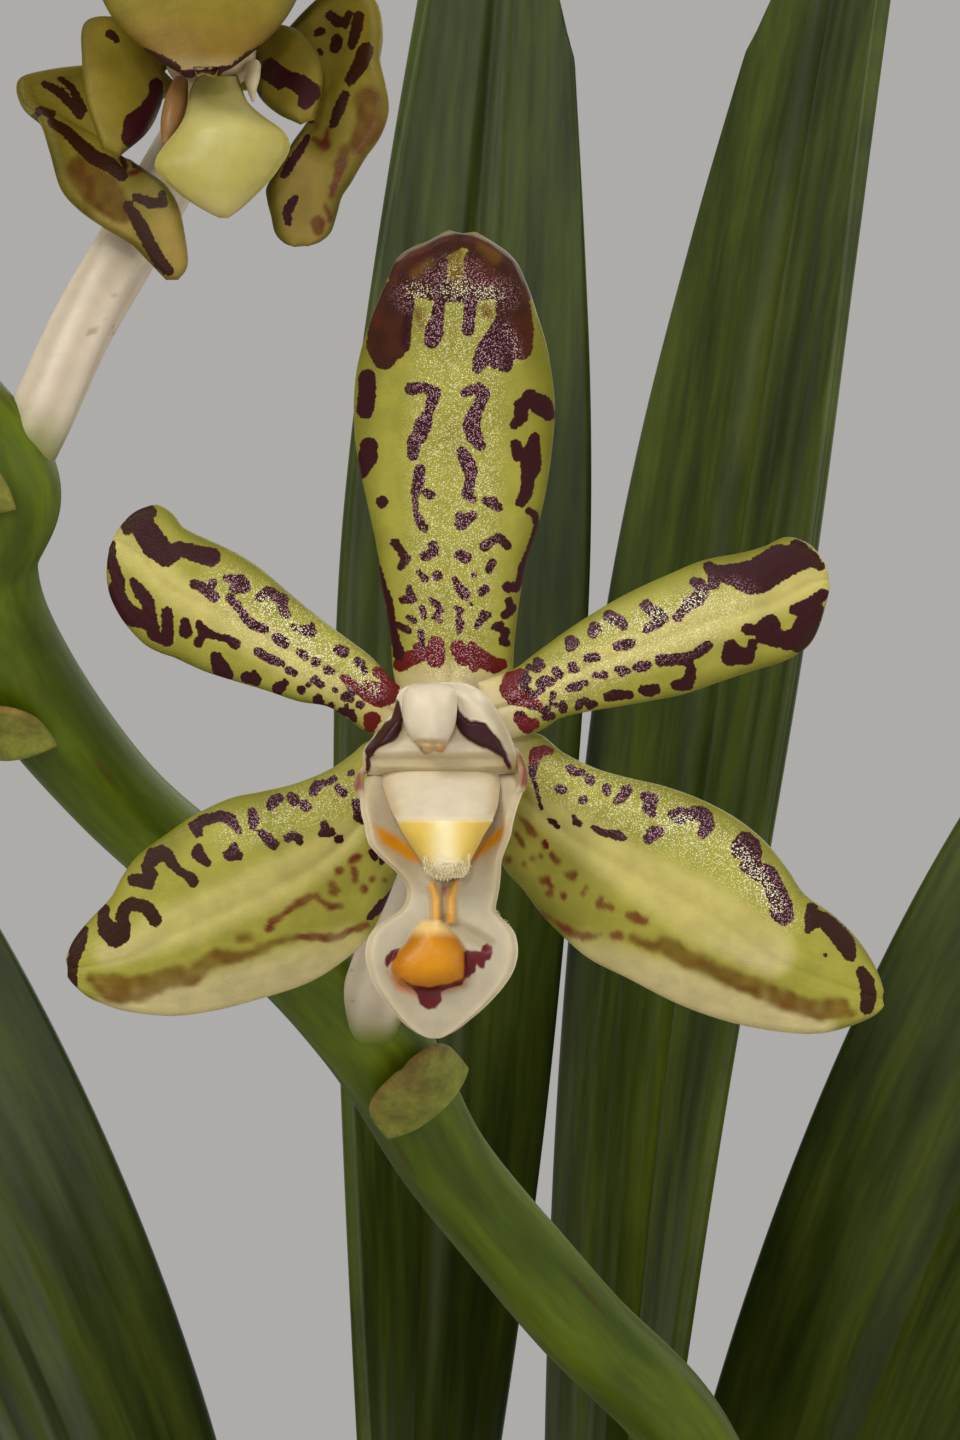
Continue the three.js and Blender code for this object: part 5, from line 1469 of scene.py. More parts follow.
YOUNG_SEPAL_RIGHT_MARKS = {
    "brown": [
        [(330, 15, 4), (338, 22, 5)], [(349, 14, 3), (345, 25, 3)],
        [(359, 17, 5), (356, 30, 5), (352, 45, 4)], [(322, 31, 3), (317, 33, 3)],
        [(337, 40, 5), (335, 48, 5)], (320, 52, 3), [(366, 50, 7), (360, 65, 7), (350, 80, 5)],
        [(345, 95, 4), (338, 112, 5), (333, 125, 3)],
        [(270, 104, 2.5), (268, 114, 2)], [(279, 106, 2.5), (277, 118, 2)], [(289, 108, 2),
                                                                             (287, 121, 2)],
        [(298, 109, 2.5), (299, 122, 2)], [(308, 108, 2), (311, 121, 2)]],
    "maroon": [[(308, 137, 2), (300, 150, 3.5), (290, 165, 4), (284, 175, 3)],
               [(288, 222, 3), (287, 212, 4), (292, 203, 4), (296, 197, 2)]],
    "rust": [[(314, 140, 3), (325, 146, 5), (328, 131, 3)], [(341, 165, 5), (336, 180, 4),
                                                             (332, 195, 4)],
             [(318, 222, 7), (319, 230, 6)], [(325, 205, 3), (330, 218, 3)],
             [(290, 115, 2), (297, 119, 3), (303, 123, 3), (311, 120, 2), (317, 127, 2)]],
    "ochre": [[(368, 100, 14), (370, 125, 14), (358, 145, 10)], [(345, 150, 6), (340, 165, 6)]],
}
YOUNG_TEPALS = {
    "dorsal_sepal": (HOOD, HOOD_MARKS),
    "petal_left": (YOUNG_PETAL_LEFT, YOUNG_PETAL_LEFT_MARKS),
    "petal_right": (YOUNG_PETAL_RIGHT, YOUNG_PETAL_RIGHT_MARKS),
    "lateral_sepal_left": (YOUNG_SEPAL_LEFT, YOUNG_SEPAL_LEFT_MARKS),
    "lateral_sepal_right": (YOUNG_SEPAL_RIGHT, YOUNG_SEPAL_RIGHT_MARKS),
}
# painted shade: the young flower lies in shadow, so its flesh is made darker and browner
YOUNG_SHADE = np.array([0.62, 0.5, 0.34])     # painted shade, darker and browner
YOUNG_CREAM = [[(300, 170, 14), (305, 225, 16)], [(165, 225, 8), (178, 262, 10)],
               [(104, 216, 3), (128, 228, 3)]]
YOUNG_LIP_ROWS = [  # y of the photograph, left and right edge, depth at the middle, rim and back
    (76, 198, 238, -2.3, -1.4, 0.2), (88, 191, 242, -2.9, -1.9, 0),
    (102, 188, 248, -3.5, -2.5, -0.6),
    (115, 185, 262, -4.0, -3.0, -1.2), (128, 178, 280, -4.4, -3.4, -1.8),
    (138, 170, 288, -4.5, -3.5, -2.1), (148, 162, 290, -4.6, -3.6, -2.3),
    (158, 156, 286, -4.7, -3.7, -2.5),
    (167, 155, 280, -4.75, -3.8, -2.6), (177, 161, 273, -4.8, -3.9, -2.7),
    (188, 172, 263, -4.8, -4.0, -2.8), (199, 186, 252, -4.75, -4.1, -2.9),
    (208, 200, 242, -4.65, -4.2, -3.1), (214, 211, 234, -4.5, -4.3, -3.4),
    (218, 219, 228, -4.3, -4.2, -3.7)]
YOUNG_COLUMN_RINGS = [[3.9, -10.4, 29, 1.3, 1.3], [3, -10.4, 29, 1.7, 1.6], [1, -10.2, 29, 2, 1.7],
                      [-1.2, -10.2, 29, 1.8, 1.5], [-2, -10.2, 29, 1.1, 0.9]]
YOUNG_CAP_RINGS = [[-1, -10.2, 29.2, 0.7, 0.7], [-1.8, -10.2, 29.1, 1, 1], [-2.6, -10.2, 29, 0.9,
                                                                            0.9],
                   [-3.1, -10.2, 29, 0.4, 0.4]]


SQUARENESS = 2.4                 # 2 for an oval ring, and more for a squarer one
NOWHERE = [[(-900, -900, 1)]]


def young_tepal_mesh(name, spacing=0.155):
    shape, marks = YOUNG_TEPALS[name]
    in_photo = name != "dorsal_sepal"
    span = line_length(shape["near"]) * (PHOTO_SCALE if in_photo else 1.0)
    rows, columns = int(max(span, 8) / spacing) + END_PLACES, int(6 / spacing) + END_PLACES
    surface, u, v = tepal_surface(shape, rows, columns, in_photo)
    front, back = tepal_sides(surface)
    px, py = to_photo(front)
    base, mark, tint, shine = tepal_colours(px, py, u, v, marks, YOUNG_CREAM, NOWHERE)
    base = base * YOUNG_SHADE
    faint = mix(base, PALE, 0.3)
    if name == "dorsal_sepal":
        base = wash(base, RUST, 0.3 * ease(py, 0, 45))
        base = wash(base, linear(200, 182, 138), 0.3 * ease(py, 50, 72))
    places = both_sides(front, back)
    values = {"base": both_sides(base, faint), "mark": both_sides(mark, mark),
              "tint": both_sides(tint, mix(faint, tint, 0.6)), "glint": both_sides(shine, shine)}
    return places, turned_out(places, sheet_faces(rows, columns)), values


def young_lip_mesh(count=110, front_columns=70, back_columns=20):
    py, left, right, mid, rim, behind = rows_read(YOUNG_LIP_ROWS, count)
    s, share = crowded(front_columns, 1.3), back_shares(back_columns)
    y = mix(mid, rim, np.abs(s) ** 2.4) + 0.2 * ease(np.abs(s), 0.85, 1.0) ** 2
    rings = sheet_rings(py, (across(left, right, s), y),
                        (across(left, right, share, BACK_WIDTH),
                         mix(behind, rim + 0.3, np.abs(share) ** 3)))
    places, faces = close_rings(rings)
    qx, qy = to_photo(rings)
    # painted shade: the young lip's colours are darkened, as it lies in shadow
    base = wash(linear(164, 152, 76) + 0 * rings, linear(184, 174, 106),
                np.exp(-((qx - 222) / 34) ** 2 - ((qy - 122) / 26) ** 2))
    base = wash(base, linear(172, 158, 102), 0.6 * ease(qy, 178, 210))
    return places, faces, poled(unmarked(base))


def ring_stack(rows, count, sides):
    """Closed squarish rings stacked along y, from y, middle x and z, and half sizes."""
    table = spline(rows, np.linspace(0, 1, count))
    angle = np.arange(sides) * 2 * math.pi / sides
    c, s = (np.sign(t) * np.abs(t) ** (2 / SQUARENESS) for t in (np.cos(angle), np.sin(angle)))
    x = table[:, 1:2] + table[:, 3:4] * c
    z = table[:, 2:3] + table[:, 4:5] * s
    return np.stack([x, np.repeat(table[:, :1], sides, axis=1), z], axis=-1)


def mottled(mesh, colour, shade):
    """A mesh of places and faces in a colour, with patches of another."""
    places, faces = mesh
    return places, faces, unmarked(wash(colour + 0 * places, shade,
                                        0.5 * ease(noise(places, 0.9, 4), -0.2, 1)))


def young_column_mesh():
    # the left lobe's orange patch, darkened as painted shade beneath the hood
    left_arm = lobe([(180, 84, -1.4), (176, 102, -1.9), (171, 124, -2.4), (166, 142, -2.7)],
                    [0.36, 0.5, 0.46, 0.2], 24, 18)
    right_arm = lobe([(254, 66, -1.4), (252, 78, -1.8), (252, 90, -2.1), (253, 100, -2.3)],
                     [0.3, 0.34, 0.2, 0.08], 24, 18)
    return join_meshes([
        mottled(close_rings(ring_stack(YOUNG_COLUMN_RINGS, 40, 40)), WARM_WHITE, TAN),
        mottled(left_arm, linear(132, 94, 52), linear(108, 66, 28)),
        mottled(right_arm, WARM_WHITE, TAN)])


def young_cap_mesh():
    return mottled(close_rings(ring_stack(YOUNG_CAP_RINGS, 30, 36)), WHITE, WARM_WHITE)


# Stalk, pedicels, buds and bracts, from the heart

STALK_POINTS = [
    [-5, 75, -147], [-4, 66, -145], [2, 59, -134], [11, 54, -112], [18, 50, -88], [20, 47, -70],
    [19, 43, -55], [15.6, 38.6, -43.5], [11.6, 34, -34.6], [6.2, 27.4, -28.4], [0.2, 20.5, -20.8],
    [-3.6, 15.4, -14.2], [-9.3, 11.4, -8.3], [-14.8, 8, -3.3], [-18.9, 4.8, 2.4],
    [-19.9, 2.4, 6.6], [-19.2, 0.6, 10.2], [-21.6, 0, 14.4], [-26, -1, 20], [-30.5, -2, 26],
    [-34, -2, 33]]
GAP = 0.3
STALK_RADIUS = 2.1
STALK_TIP_RADIUS = 1.1
BRACTS = {  # by the knot's place in the stalk's points: where the foot is from it and its way
    11: (-3.9, (0.3, -1, -0.2)), 14: (-3, (-0.8, -0.8, -0.3)), 16: (-0.5, (-0.7, -0.8, 0.3)),
    18: (-2, (-0.8, 0.6, -0.6))}
KNOT_SWELLING = 0.35
PEDICEL_RADIUS = 1.35
PEDICEL_SHARES = [1.1, 0.95, 1, 1, 1.05, 1.2]
PEDICELS = [
    [[0.3, 2.95, -0.1], [0.2, 5.8, -1], [-0.9, 8.8, -5], [-2.3, 10.8, -9.4], [-3.3, 12.4, -12.4],
     [-3.6, 15, -14]],
    [[-10.4, 5.4, 28.9], [-10.9, 6.9, 26.6], [-13.7, 3.4, 21], [-15.8, 1.2, 17], [-17.6, 0.5, 13],
     [-19.2, 0.6, 10.2]],
    [[-39.45, -4.55, -4.1], [-36, -2.6, -5], [-29, 1.2, -4], [-23, 3.4, 0], [-18.9, 4.5, 2.6]]]
BUDS = [
    ([-22.9, -0.3, 16], [-25.6, 4.4, 24], [-26, 7.4, 36], 4),
    ([-27.3, -1.3, 21.8], [-35, -1, 24], [-44.4, -1.6, 29.6], 3.5),
    ([-30.9, -2, 26.6], [-26.4, -5, 33], [-27, -6.6, 42], 3),
    ([-33.6, -2, 32], [-36, -1.6, 37], [-36.4, -1.4, 43], 2.2)]
BRACT_LENGTH = 3.4
BRACT_THICKNESS = 0.4
BRACT_HALF_SPAN = 0.95
BUD_SHARES = [0.34, 0.33, 0.31, 0.3, 0.36, 0.62, 0.9, 1.0, 1.0, 0.92, 0.74, 0.46, 0.16]


def tube_grain(share, angle, radius, length):
    """Coordinates in metres, drawn out along a tube, for the streaks of its skin."""
    return MM * np.stack([radius * np.cos(angle), radius * np.sin(angle), share * length / 7],
                         axis=-1)


def stalk_mesh():
    last = len(STALK_POINTS) - 1
    radii = [mix(STALK_RADIUS, STALK_TIP_RADIUS, ease(i, 16, last))
             + (KNOT_SWELLING if i in BRACTS else 0) for i in range(last + 1)]

    def ribs(share, angle, place):
        return 0.05 * np.cos(5 * angle + 9 * share) + 0.12 * noise(place, 6, 1)

    places, faces, share, angle = tube(STALK_POINTS, radii, 420, 36, ribs)
    knot = sum(np.exp(-((share * last - k) / 0.22) ** 2) for k in BRACTS)
    base = wash(np.ones(places.shape), [1.25, 1.15, 0.8], 0.6 * ease(share, 0.4, 0.9))
    base = wash(base, [1.5, 1.3, 0.7], 0.5 * np.clip(knot, 0, 1))
    scar = ease(noise(places, 3, 12), 0.45, 0.8) * (1 - ease(share, 0.5, 0.8))
    base = wash(base, [1.1, 0.75, 0.4], 0.35 * scar)
    return places, faces, {"base": base, "grain": tube_grain(share, angle, STALK_RADIUS, 190)}


def pedicel_mesh(points):
    radii = [s * PEDICEL_RADIUS for s in PEDICEL_SHARES]

    def ribs(share, angle, place):
        full = np.sin(np.clip(share, 0.02, 0.98) * math.pi) ** 0.3
        return 0.07 * np.cos(6 * angle + 5 * share) * full

    places, faces, share, angle = tube(points, radii, 130, 48, ribs)
    # painted shade in the grooves between the ribs
    valley = 0.5 - 0.5 * np.cos(6 * angle + 5 * share)
    base = wash(linear(204, 190, 168) + 0 * places, linear(176, 156, 126), 0.4 * valley)
    base = wash(base, linear(112, 118, 30), 0.95 * ease(share, 0.74, 0.9))
    base = wash(base, linear(196, 186, 120), 0.5 * (1 - ease(share, 0.0, 0.12)))
    base = wash(base, linear(120, 84, 60), 0.5 * ease(noise(places, 0.35, 15), 0.78, 0.9))
    return places, faces, unmarked(base)


def bud_mesh(knot, bend, tip, radius, seed):
    middle = mix(np.array(bend), np.array(tip), 0.5)

    def seams(share, angle, place):
        swollen = ease(share, 0.36, 0.5)
        groove = np.abs(np.cos(1.5 * angle + 0.4)) ** 14
        keel = np.abs(np.sin(1.5 * angle + 0.4)) ** 3
        return radius * swollen * (0.04 * keel - 0.07 * groove) * (1 - ease(share, 0.96, 1.0))

    places, faces, share, angle = tube([knot, bend, middle, tip], [w * radius for w in BUD_SHARES],
                                       86, 45, seams)
    swollen = ease(share, 0.34, 0.46)
    base = wash(linear(188, 184, 140) + 0 * places, linear(150, 150, 62), swollen)
    base = wash(base, linear(122, 108, 44), 0.5 * ease(noise(places, 2.4, seed), 0.0,
                                                       0.8) * swollen)
    spot = noise(places * np.array([1, 1, 0.6]), 1.1, seed + 7) - 0.42 - 0.5 * (1 - swollen)
    return places, faces, {"base": base, "mark": 0.3 * spot, "tint": DEEP_BROWN + 0 * places,
                           "glint": 0 * share}


def bract_mesh(knot, lift, away):
    rows, columns = 40, 44
    u, v = close_ends(rows, 0.06), 2 * close_ends(columns, 0.06) - 1
    t = knot / (len(STALK_POINTS) - 1)
    start, nearby = spline(STALK_POINTS, np.array([t, t + 1e-4]))
    way = unit(nearby - start)
    out = np.array(away, float)
    out = unit(out - way * np.dot(out, way))
    across_way = np.cross(way, out)
    clear = STALK_RADIUS + KNOT_SWELLING + GAP + 0.2
    tip = np.sqrt(1 - 0.99 * u ** 2.5)[:, None]
    angle = BRACT_HALF_SPAN * tip * v[None]
    reach = clear + 0.6 * (u ** 2)[:, None] + 0 * angle
    surface = (start + way * (lift + BRACT_LENGTH * u)[:, None, None]
               + out * (reach * np.cos(angle))[..., None]
               + across_way * (reach * np.sin(angle))[..., None])
    front, back = thicken(surface, BRACT_THICKNESS)
    front = front + out * (0.06 * noise(surface, 0.9, 3))[..., None]
    dry = ease(u[:, None] + 0.25 * noise(surface, 1.2, 6), 0.3, 1.0)
    rim = ease(np.abs(v), 0.8, 1.0)[None] + 0 * dry
    base = wash(linear(122, 124, 46) + 0 * surface, linear(112, 78, 36),
                np.clip(0.6 * dry + 0.2 * rim, 0, 1))
    places = both_sides(front, back)
    return places, turned_out(places, sheet_faces(rows, columns)), {"base": both_sides(base, base)}


# Stem, leaves, roots, bark and pot

STEM_POINTS = [[0, 0, 66], [1, 0, 108], [4.5, 1, 148], [9, 2, 184], [11, 3, 206]]
STEM_RADII = [5.4, 5.0, 4.7, 4.3, 2.6]
LEAF_THICKNESS = 1.7
LEAF_BASE_Z = 104
LEAF_STEP_Z = 11
LEAF_CLASP = 0.74
LEAVES = [  # length, width, spread, tip, twist and yaw, from the lowest leaf up
    (138, 18, 66, 106, 24, 8), (152, 19, 60, 104, 28, -10), (166, 20, 50, 92, 36, -6),
    (172, 20, 44, 78, 42, 8), (172, 20, 36, 58, 50, 6), (168, 20, 8, 40, 58, -6),
    (164, 20, 4, 58, 60, -4), (158, 18, 3, 12, 36, 0), (146, 16, -1, -5, 60, 0)]
ROOT_RADIUS = 2.6
ROOT_TAPER = [1, 1, 1, 1, 1, 0.96, 0.9, 0.5]
ROOTS = [
    [[1, 0, 103], [-6, -8, 103], [-17, -18, 100], [-26, -27, 93], [-30, -33, 83]],
    [[1, 0, 99], [11, -6, 101], [25, -14, 101], [35, -17, 95], [40, -20, 84]],
    [[1, 0, 101], [-4, 11, 103], [-12, 27, 106], [-22, 47, 111], [-28, 62, 108], [-31, 68, 92],
     [-29, 66, 68], [-31, 68, 44]],
    [[1, 0, 106], [13, 9, 108], [31, 21, 110], [50, 31, 113], [63, 38, 108], [69, 40, 92],
     [70, 44, 72]],
    [[2, 0, 110], [-9, -9, 111], [-25, -20, 112], [-42, -34, 113], [-56, -43, 109],
     [-62, -45, 95], [-60, -47, 78], [-63, -50, 64]]]
POT_HEIGHT, POT_RIM_HEIGHT = 105, 22
POT_FOOT, POT_SHOULDER, POT_RIM = 42, 56, 60
POT_WALL, POT_FLOOR, POT_ROUNDING = 5, 6, 1.6
DRAIN_RADIUS, DRAIN_CIRCLE, DRAIN_COUNT = 4.5, 21, 4
DRAIN_CUT = (-4.0, 14.0)         # heights between which a drain hole's cutter reaches
BARK_LEVEL, BARK_CROWN = 90, 5
CHIP_COUNT = 190
GOLDEN_ANGLE = 2.39996           # radians from one chip round the pot to the next


def leaf_mesh(order, spacing=1.35):
    length, wide, spread, tip_angle, twist, yaw = LEAVES[order]
    side = -1 if order % 2 == 0 else 1
    turn = math.radians(yaw)
    up = np.array([0, 0, 1])
    out_way = np.array([side * math.cos(turn), math.sin(turn), 0])
    across_way = np.array([-side * math.sin(turn), math.cos(turn), 0])
    low, high = STEM_POINTS[0][2], STEM_POINTS[-1][2]
    share = (LEAF_BASE_Z + order * LEAF_STEP_Z - low) / (high - low)
    foot = evenly(STEM_POINTS, np.array([share]))[0]
    stem_radius = np.interp(share * 4, range(5), STEM_RADII)
    wrap = stem_radius + GAP + LEAF_THICKNESS / 2 + 0.2
    below, above = STEM_POINTS[1], STEM_POINTS[3]
    lean = math.atan2(above[0] - below[0], above[2] - below[2])

    def angle_at(u):
        return (mix(side * lean, math.radians(spread), ease(u, 0.03, 0.2))
                + math.radians(tip_angle - spread) * np.maximum(u, 0) ** 1.6)

    steps = 60
    bends = angle_at((np.arange(steps) + 0.5) / steps)[:, None]
    moves = (np.sin(bends) * out_way + np.cos(bends) * up) * length / steps
    middle = np.vstack([foot + out_way * wrap, foot + out_way * wrap + np.cumsum(moves, axis=0)])
    rows, columns = int(length / spacing), 36
    u, v = close_ends(rows, 0.01)[:, None], (2 * close_ends(columns, 0.04) - 1)[None]
    # an uneven two-lobed tip
    notch = 0.022 * np.exp(-((v - 0.1) / 0.16) ** 2) + 0.05 * np.abs(v) ** 3 + 0.014 * (v + 1)
    w = u - notch * ease(u, 0.8, 1.0)
    angle = angle_at(w)[..., None]
    upper = -np.cos(angle) * out_way + np.sin(angle) * up
    turned = (math.radians(twist) * ease(w, 0.1, 0.75))[..., None]
    width_way = across_way * np.cos(turned) + upper * np.sin(turned)
    normal = upper * np.cos(turned) - across_way * np.sin(turned)
    clasp = LEAF_CLASP * wrap * math.pi / 2
    blade = wide / 2 * (1 - 0.55 * ease(w, 0.66, 1.04) ** 1.5)
    half = mix(clasp, blade, ease(w, 0.04, 0.34))
    bend = mix(wrap, 26.0, ease(w, 0.05, 0.4))
    surface = (spline(middle, w) + width_way * (bend * np.sin(half * v / bend))[..., None]
               + normal * (bend * (1 - np.cos(half * v / bend)))[..., None])
    grown = ease(w, 0.12, 0.4)
    fold = (-0.75 * np.exp(-(v / 0.1) ** 2) * grown * (1 - 0.6 * ease(w, 0.85, 1.0))
            + 0.05 * np.cos(v * 10 * math.pi) * grown + 0.5 * noise(surface, 34, order) * grown)
    thick = 1.45 - 0.5 * np.abs(v) ** 2 + 0 * w
    upper_face, lower_face = thicken(surface, thick)
    if np.einsum("ijk,ijk->", upper_face - lower_face, normal) < 0:
        upper_face, lower_face = lower_face, upper_face
    upper_face = upper_face + normal * fold[..., None]
    lower_face = lower_face + normal * (fold - 0.25 * np.exp(-(v / 0.12) ** 2) * grown)[..., None]
    tone = noise(surface, 18, order + 3)
    base = np.ones(surface.shape) * (1 + 0.08 * tone)[..., None]
    base = wash(base, [1.5, 1.35, 0.9], 0.55 * (1 - ease(w, 0.02, 0.16)))
    base = wash(base, [1.3, 1.2, 0.8], 0.35 * np.exp(-(v / 0.08) ** 2) * grown)
    dry = ease(w + 0.02 * noise(surface, 3, order), 0.975, 0.995)
    base = wash(base, [2.0, 1.2, 0.7], 0.7 * dry)
    under = mix(base, base * np.array([1.35, 1.3, 1.45]), 0.8)
    places = both_sides(upper_face, lower_face)
    grain = MM * np.stack([half * v, w * length / 9, 11 * order + 0 * w], axis=-1)
    values = {"base": both_sides(base, under), "grain": both_sides(grain, grain)}
    return places, turned_out(places, sheet_faces(rows, columns)), values


def stem_mesh():
    def joints(share, angle, place):
        rung = (place[..., 2] - LEAF_BASE_Z + 4) / LEAF_STEP_Z
        return 0.18 * np.cos(2 * math.pi * rung) + 0.25 * noise(place, 4, 2)

    places, faces, share, angle = tube(STEM_POINTS, STEM_RADII, 160, 40, joints)
    dry = 1 - ease(places[:, 2], 104, 150)
    base = wash(np.ones(places.shape), [1.5, 0.95, 0.6], 0.9 * dry)
    return places, faces, {"base": base, "grain": tube_grain(share, angle, 5, 140)}


def root_mesh(order):
    points = ROOTS[order]
    radii = [s * ROOT_RADIUS for s in ROOT_TAPER]

    def lumps(share, angle, place):
        return 0.22 * noise(place, 5, order) + 0.10 * noise(place, 1.6, order + 20)

    places, faces, share, angle = tube(points, radii, 34 * len(points), 22, lumps)
    green = ease(share + 0.01 * noise(places, 2, 8), 0.93, 0.965)
    worn = ease(noise(places, 7, order + 5), 0.0, 0.7)
    base = wash(linear(186, 188, 172) + 0 * places, linear(142, 146, 112), worn)
    base = wash(base, linear(128, 104, 74), 0.45 * ease(noise(places, 4, order + 9), 0.3, 0.8))
    base = wash(base, linear(112, 140, 44), green)
    base = wash(base, linear(120, 62, 40), 0.5 * ease(share, 0.985, 1.0))
    return places, faces, {"base": base}


def inner_radius(z):
    """The pot's inner radius at a height."""
    return mix(POT_FOOT, POT_SHOULDER, z / (POT_HEIGHT - POT_RIM_HEIGHT)) - POT_WALL


def lathe(profile, sides, wobble=None):
    """A closed solid turned about Z from a profile of (radius, z) that starts and ends on it."""
    profile = np.array(profile, float)
    angle = np.arange(sides) * 2 * math.pi / sides
    r, z = profile[1:-1, :1], profile[1:-1, 1:]
    x, y = r * np.cos(angle), r * np.sin(angle)
    rings = np.stack([x, y, z + 0 * x], axis=-1)
    if wobble is not None:
        rings = wobble(rings)
    return close_rings(rings, np.array([0, 0, profile[0, 1]]), np.array([0, 0, profile[-1, 1]]))


def rounded(profile, radius, steps=5):
    """A profile whose corners are rounded."""
    p = np.array(profile, float)
    out = [p[0]]
    for a, b, c in zip(p[:-2], p[1:-1], p[2:]):
        r = min(radius, 0.45 * np.linalg.norm(b - a), 0.45 * np.linalg.norm(c - b))
        start, stop = b + unit(a - b) * r, b + unit(c - b) * r
        for t in np.linspace(0, 1, steps):
            out.append((1 - t) ** 2 * start + 2 * t * (1 - t) * b + t ** 2 * stop)
    out.append(p[-1])
    return out


def cut_drain(piece, x, y):
    """Cuts a round hole through the pot's floor."""
    ring = np.array([[DRAIN_RADIUS * math.cos(t), DRAIN_RADIUS * math.sin(t), 0]
                     for t in np.arange(28) * 2 * math.pi / 28])
    places, faces = close_rings(np.stack([ring + [x, y, z] for z in DRAIN_CUT]))
    mesh = bpy.data.meshes.new("drain")
    mesh.from_pydata((places * MM).tolist(), [], faces)
    cutter = bpy.data.objects.new("drain", mesh)
    bpy.context.collection.objects.link(cutter)
    cut = piece.modifiers.new("drain", "BOOLEAN")
    cut.operation = "DIFFERENCE"
    cut.solver = "EXACT"
    cut.object = cutter
    bpy.context.view_layer.update()
    ready = piece.evaluated_get(bpy.context.evaluated_depsgraph_get())
    done = bpy.data.meshes.new_from_object(ready)
    piece.modifiers.clear()
    piece.data = done
    bpy.data.objects.remove(cutter)


def add_pot(material):
    shoulder = POT_HEIGHT - POT_RIM_HEIGHT
    profile = rounded([
        (0, 0), (POT_FOOT, 0), (mix(POT_FOOT, POT_SHOULDER, 0.5), shoulder / 2),
        (POT_SHOULDER, shoulder), (POT_RIM - 0.4, shoulder + 0.3), (POT_RIM, POT_HEIGHT),
        (inner_radius(POT_HEIGHT), POT_HEIGHT), (inner_radius(60), 60),
        (inner_radius(POT_FLOOR), POT_FLOOR), (0, POT_FLOOR)], POT_ROUNDING)
    dense = []
    for a, b in zip(profile, profile[1:]):
        count = max(1, int(np.linalg.norm(np.array(b) - a) / 3))
        dense += [mix(np.array(a), np.array(b), k / count) for k in range(count)]
    dense.append(np.array(profile[-1]))

    def thrown(rings):
        """The marks of the wheel, on all but the pot's foot."""
        x, z = rings[..., 0], rings[..., 2]
        ripple = 0.10 * np.sin(z * 1.9 + 0.6 * np.sin(x / 30)) * (z > 8)
        out = unit(rings * np.array([1, 1, 0]))
        return rings + out * (ripple + 0.12 * noise(rings, 9, 2))[..., None]

    places, faces = lathe(dense, 180, thrown)
    wet = ease(60 - places[:, 2] + 14 * noise(places, 22, 5), -20, 30)
    piece = make_piece("pot_look", places, faces, material, ["pot"], {"damp": wet})
    for k in range(DRAIN_COUNT):
        around = 2 * math.pi * (k + 0.5) / DRAIN_COUNT
        cut_drain(piece, DRAIN_CIRCLE * math.cos(around), DRAIN_CIRCLE * math.sin(around))


def chip_mesh(random, centre, size, turn, tilt):
    """One angular piece of bark."""
    rows, sides = 8, 14
    polar = np.linspace(0, math.pi, rows + 2)[1:-1][:, None]
    angle = (np.arange(sides) * 2 * math.pi / sides)[None]

    def boxy(x):
        return np.sign(x) * np.abs(x) ** 0.45

    shape = np.stack([boxy(np.sin(polar)) * boxy(np.cos(angle)),
                      boxy(np.sin(polar)) * boxy(np.sin(angle)),
                      boxy(np.cos(polar)) + 0 * angle], axis=-1)
    shift = random.random_sample(3) * 90
    shape = shape * (1 + 0.2 * noise(shape + shift, 0.9, 3))[..., None]
    shape = shape + 0.1 * np.stack([noise(shape + shift, 0.45, seed) for seed in (4, 5, 6)],
                                   axis=-1)
    shape[..., 2] += 0.25 * shape[..., 0] * (random.random_sample() - 0.5)
    c, s = math.cos(turn), math.sin(turn)
    spin = np.array([[c, -s, 0], [s, c, 0], [0, 0, 1]])
    lean = unit(np.array([tilt[0], tilt[1], 1.0]))
    a = unit(np.cross([0, 1, 0], lean))
    basis = np.stack([a, np.cross(lean, a), lean], axis=1)
    rings = (shape * size) @ spin.T @ basis.T + centre
    places, faces = close_rings(rings)
    tone = random.random_sample()
    base = mix(linear(92, 56, 36), linear(134, 92, 62), tone) + 0 * places
    return places, faces, {"base": base * (1 + 0.15 * noise(places, 3, 1))[:, None]}


def bark_mesh():
    random = np.random.RandomState(11)
    low = POT_FLOOR + GAP

    def crown(r):
        return BARK_LEVEL - 2.5 + BARK_CROWN * (1 - ease(r, 0, 52))

    radii = list(np.linspace(inner_radius(BARK_LEVEL) - 1.2, 3, 16))
    profile = [(0, low), (inner_radius(low) - GAP, low)]
    profile += [(r, crown(r)) for r in radii] + [(0, crown(0))]

    def rough(rings):
        lift = np.zeros(rings.shape)
        lift[1:, :, 2] = 1.2 * noise(rings[1:], 6, 4)
        return rings + lift

    places, faces = lathe(profile, 90, rough)
    parts = [(places, faces, {"base": linear(58, 38, 26) + 0 * places})]
    for i in range(CHIP_COUNT):
        r = 46 * math.sqrt((i + 0.5) / CHIP_COUNT)
        around = i * GOLDEN_ANGLE + 0.5 * random.random_sample()
        if r < 7.5:
            continue
        size = np.array([mix(*limits, random.random_sample())
                         for limits in ((3.4, 7.5), (2.6, 4.8), (1.1, 2.2))])
        centre = np.array([r * math.cos(around), r * math.sin(around),
                           crown(r) + 0.6 + 1.6 * random.random_sample()])
        tilt = 0.5 * (random.random_sample(2) - 0.5)
        parts.append(chip_mesh(random, centre, size, 2 * math.pi * random.random_sample(), tilt))
    return join_meshes(parts)


# The whole plant

SIDE_HEART = HEART + [-42, -6, -4]       # where flower 3 is
SIDE_TURN = -60                          # and how far it turns, in degrees
COLUMN_RINGS, COLUMN_SIDES = 46, 150


def stand(mesh, heart, turn=0.0):
    """A mesh given from a flower's heart, put where that heart is in the frame."""
    places, faces, values = mesh
    c, s = math.cos(math.radians(turn)), math.sin(math.radians(turn))
    return places @ np.array([[c, s, 0], [-s, c, 0], [0, 0, 1]]) + heart, faces, values


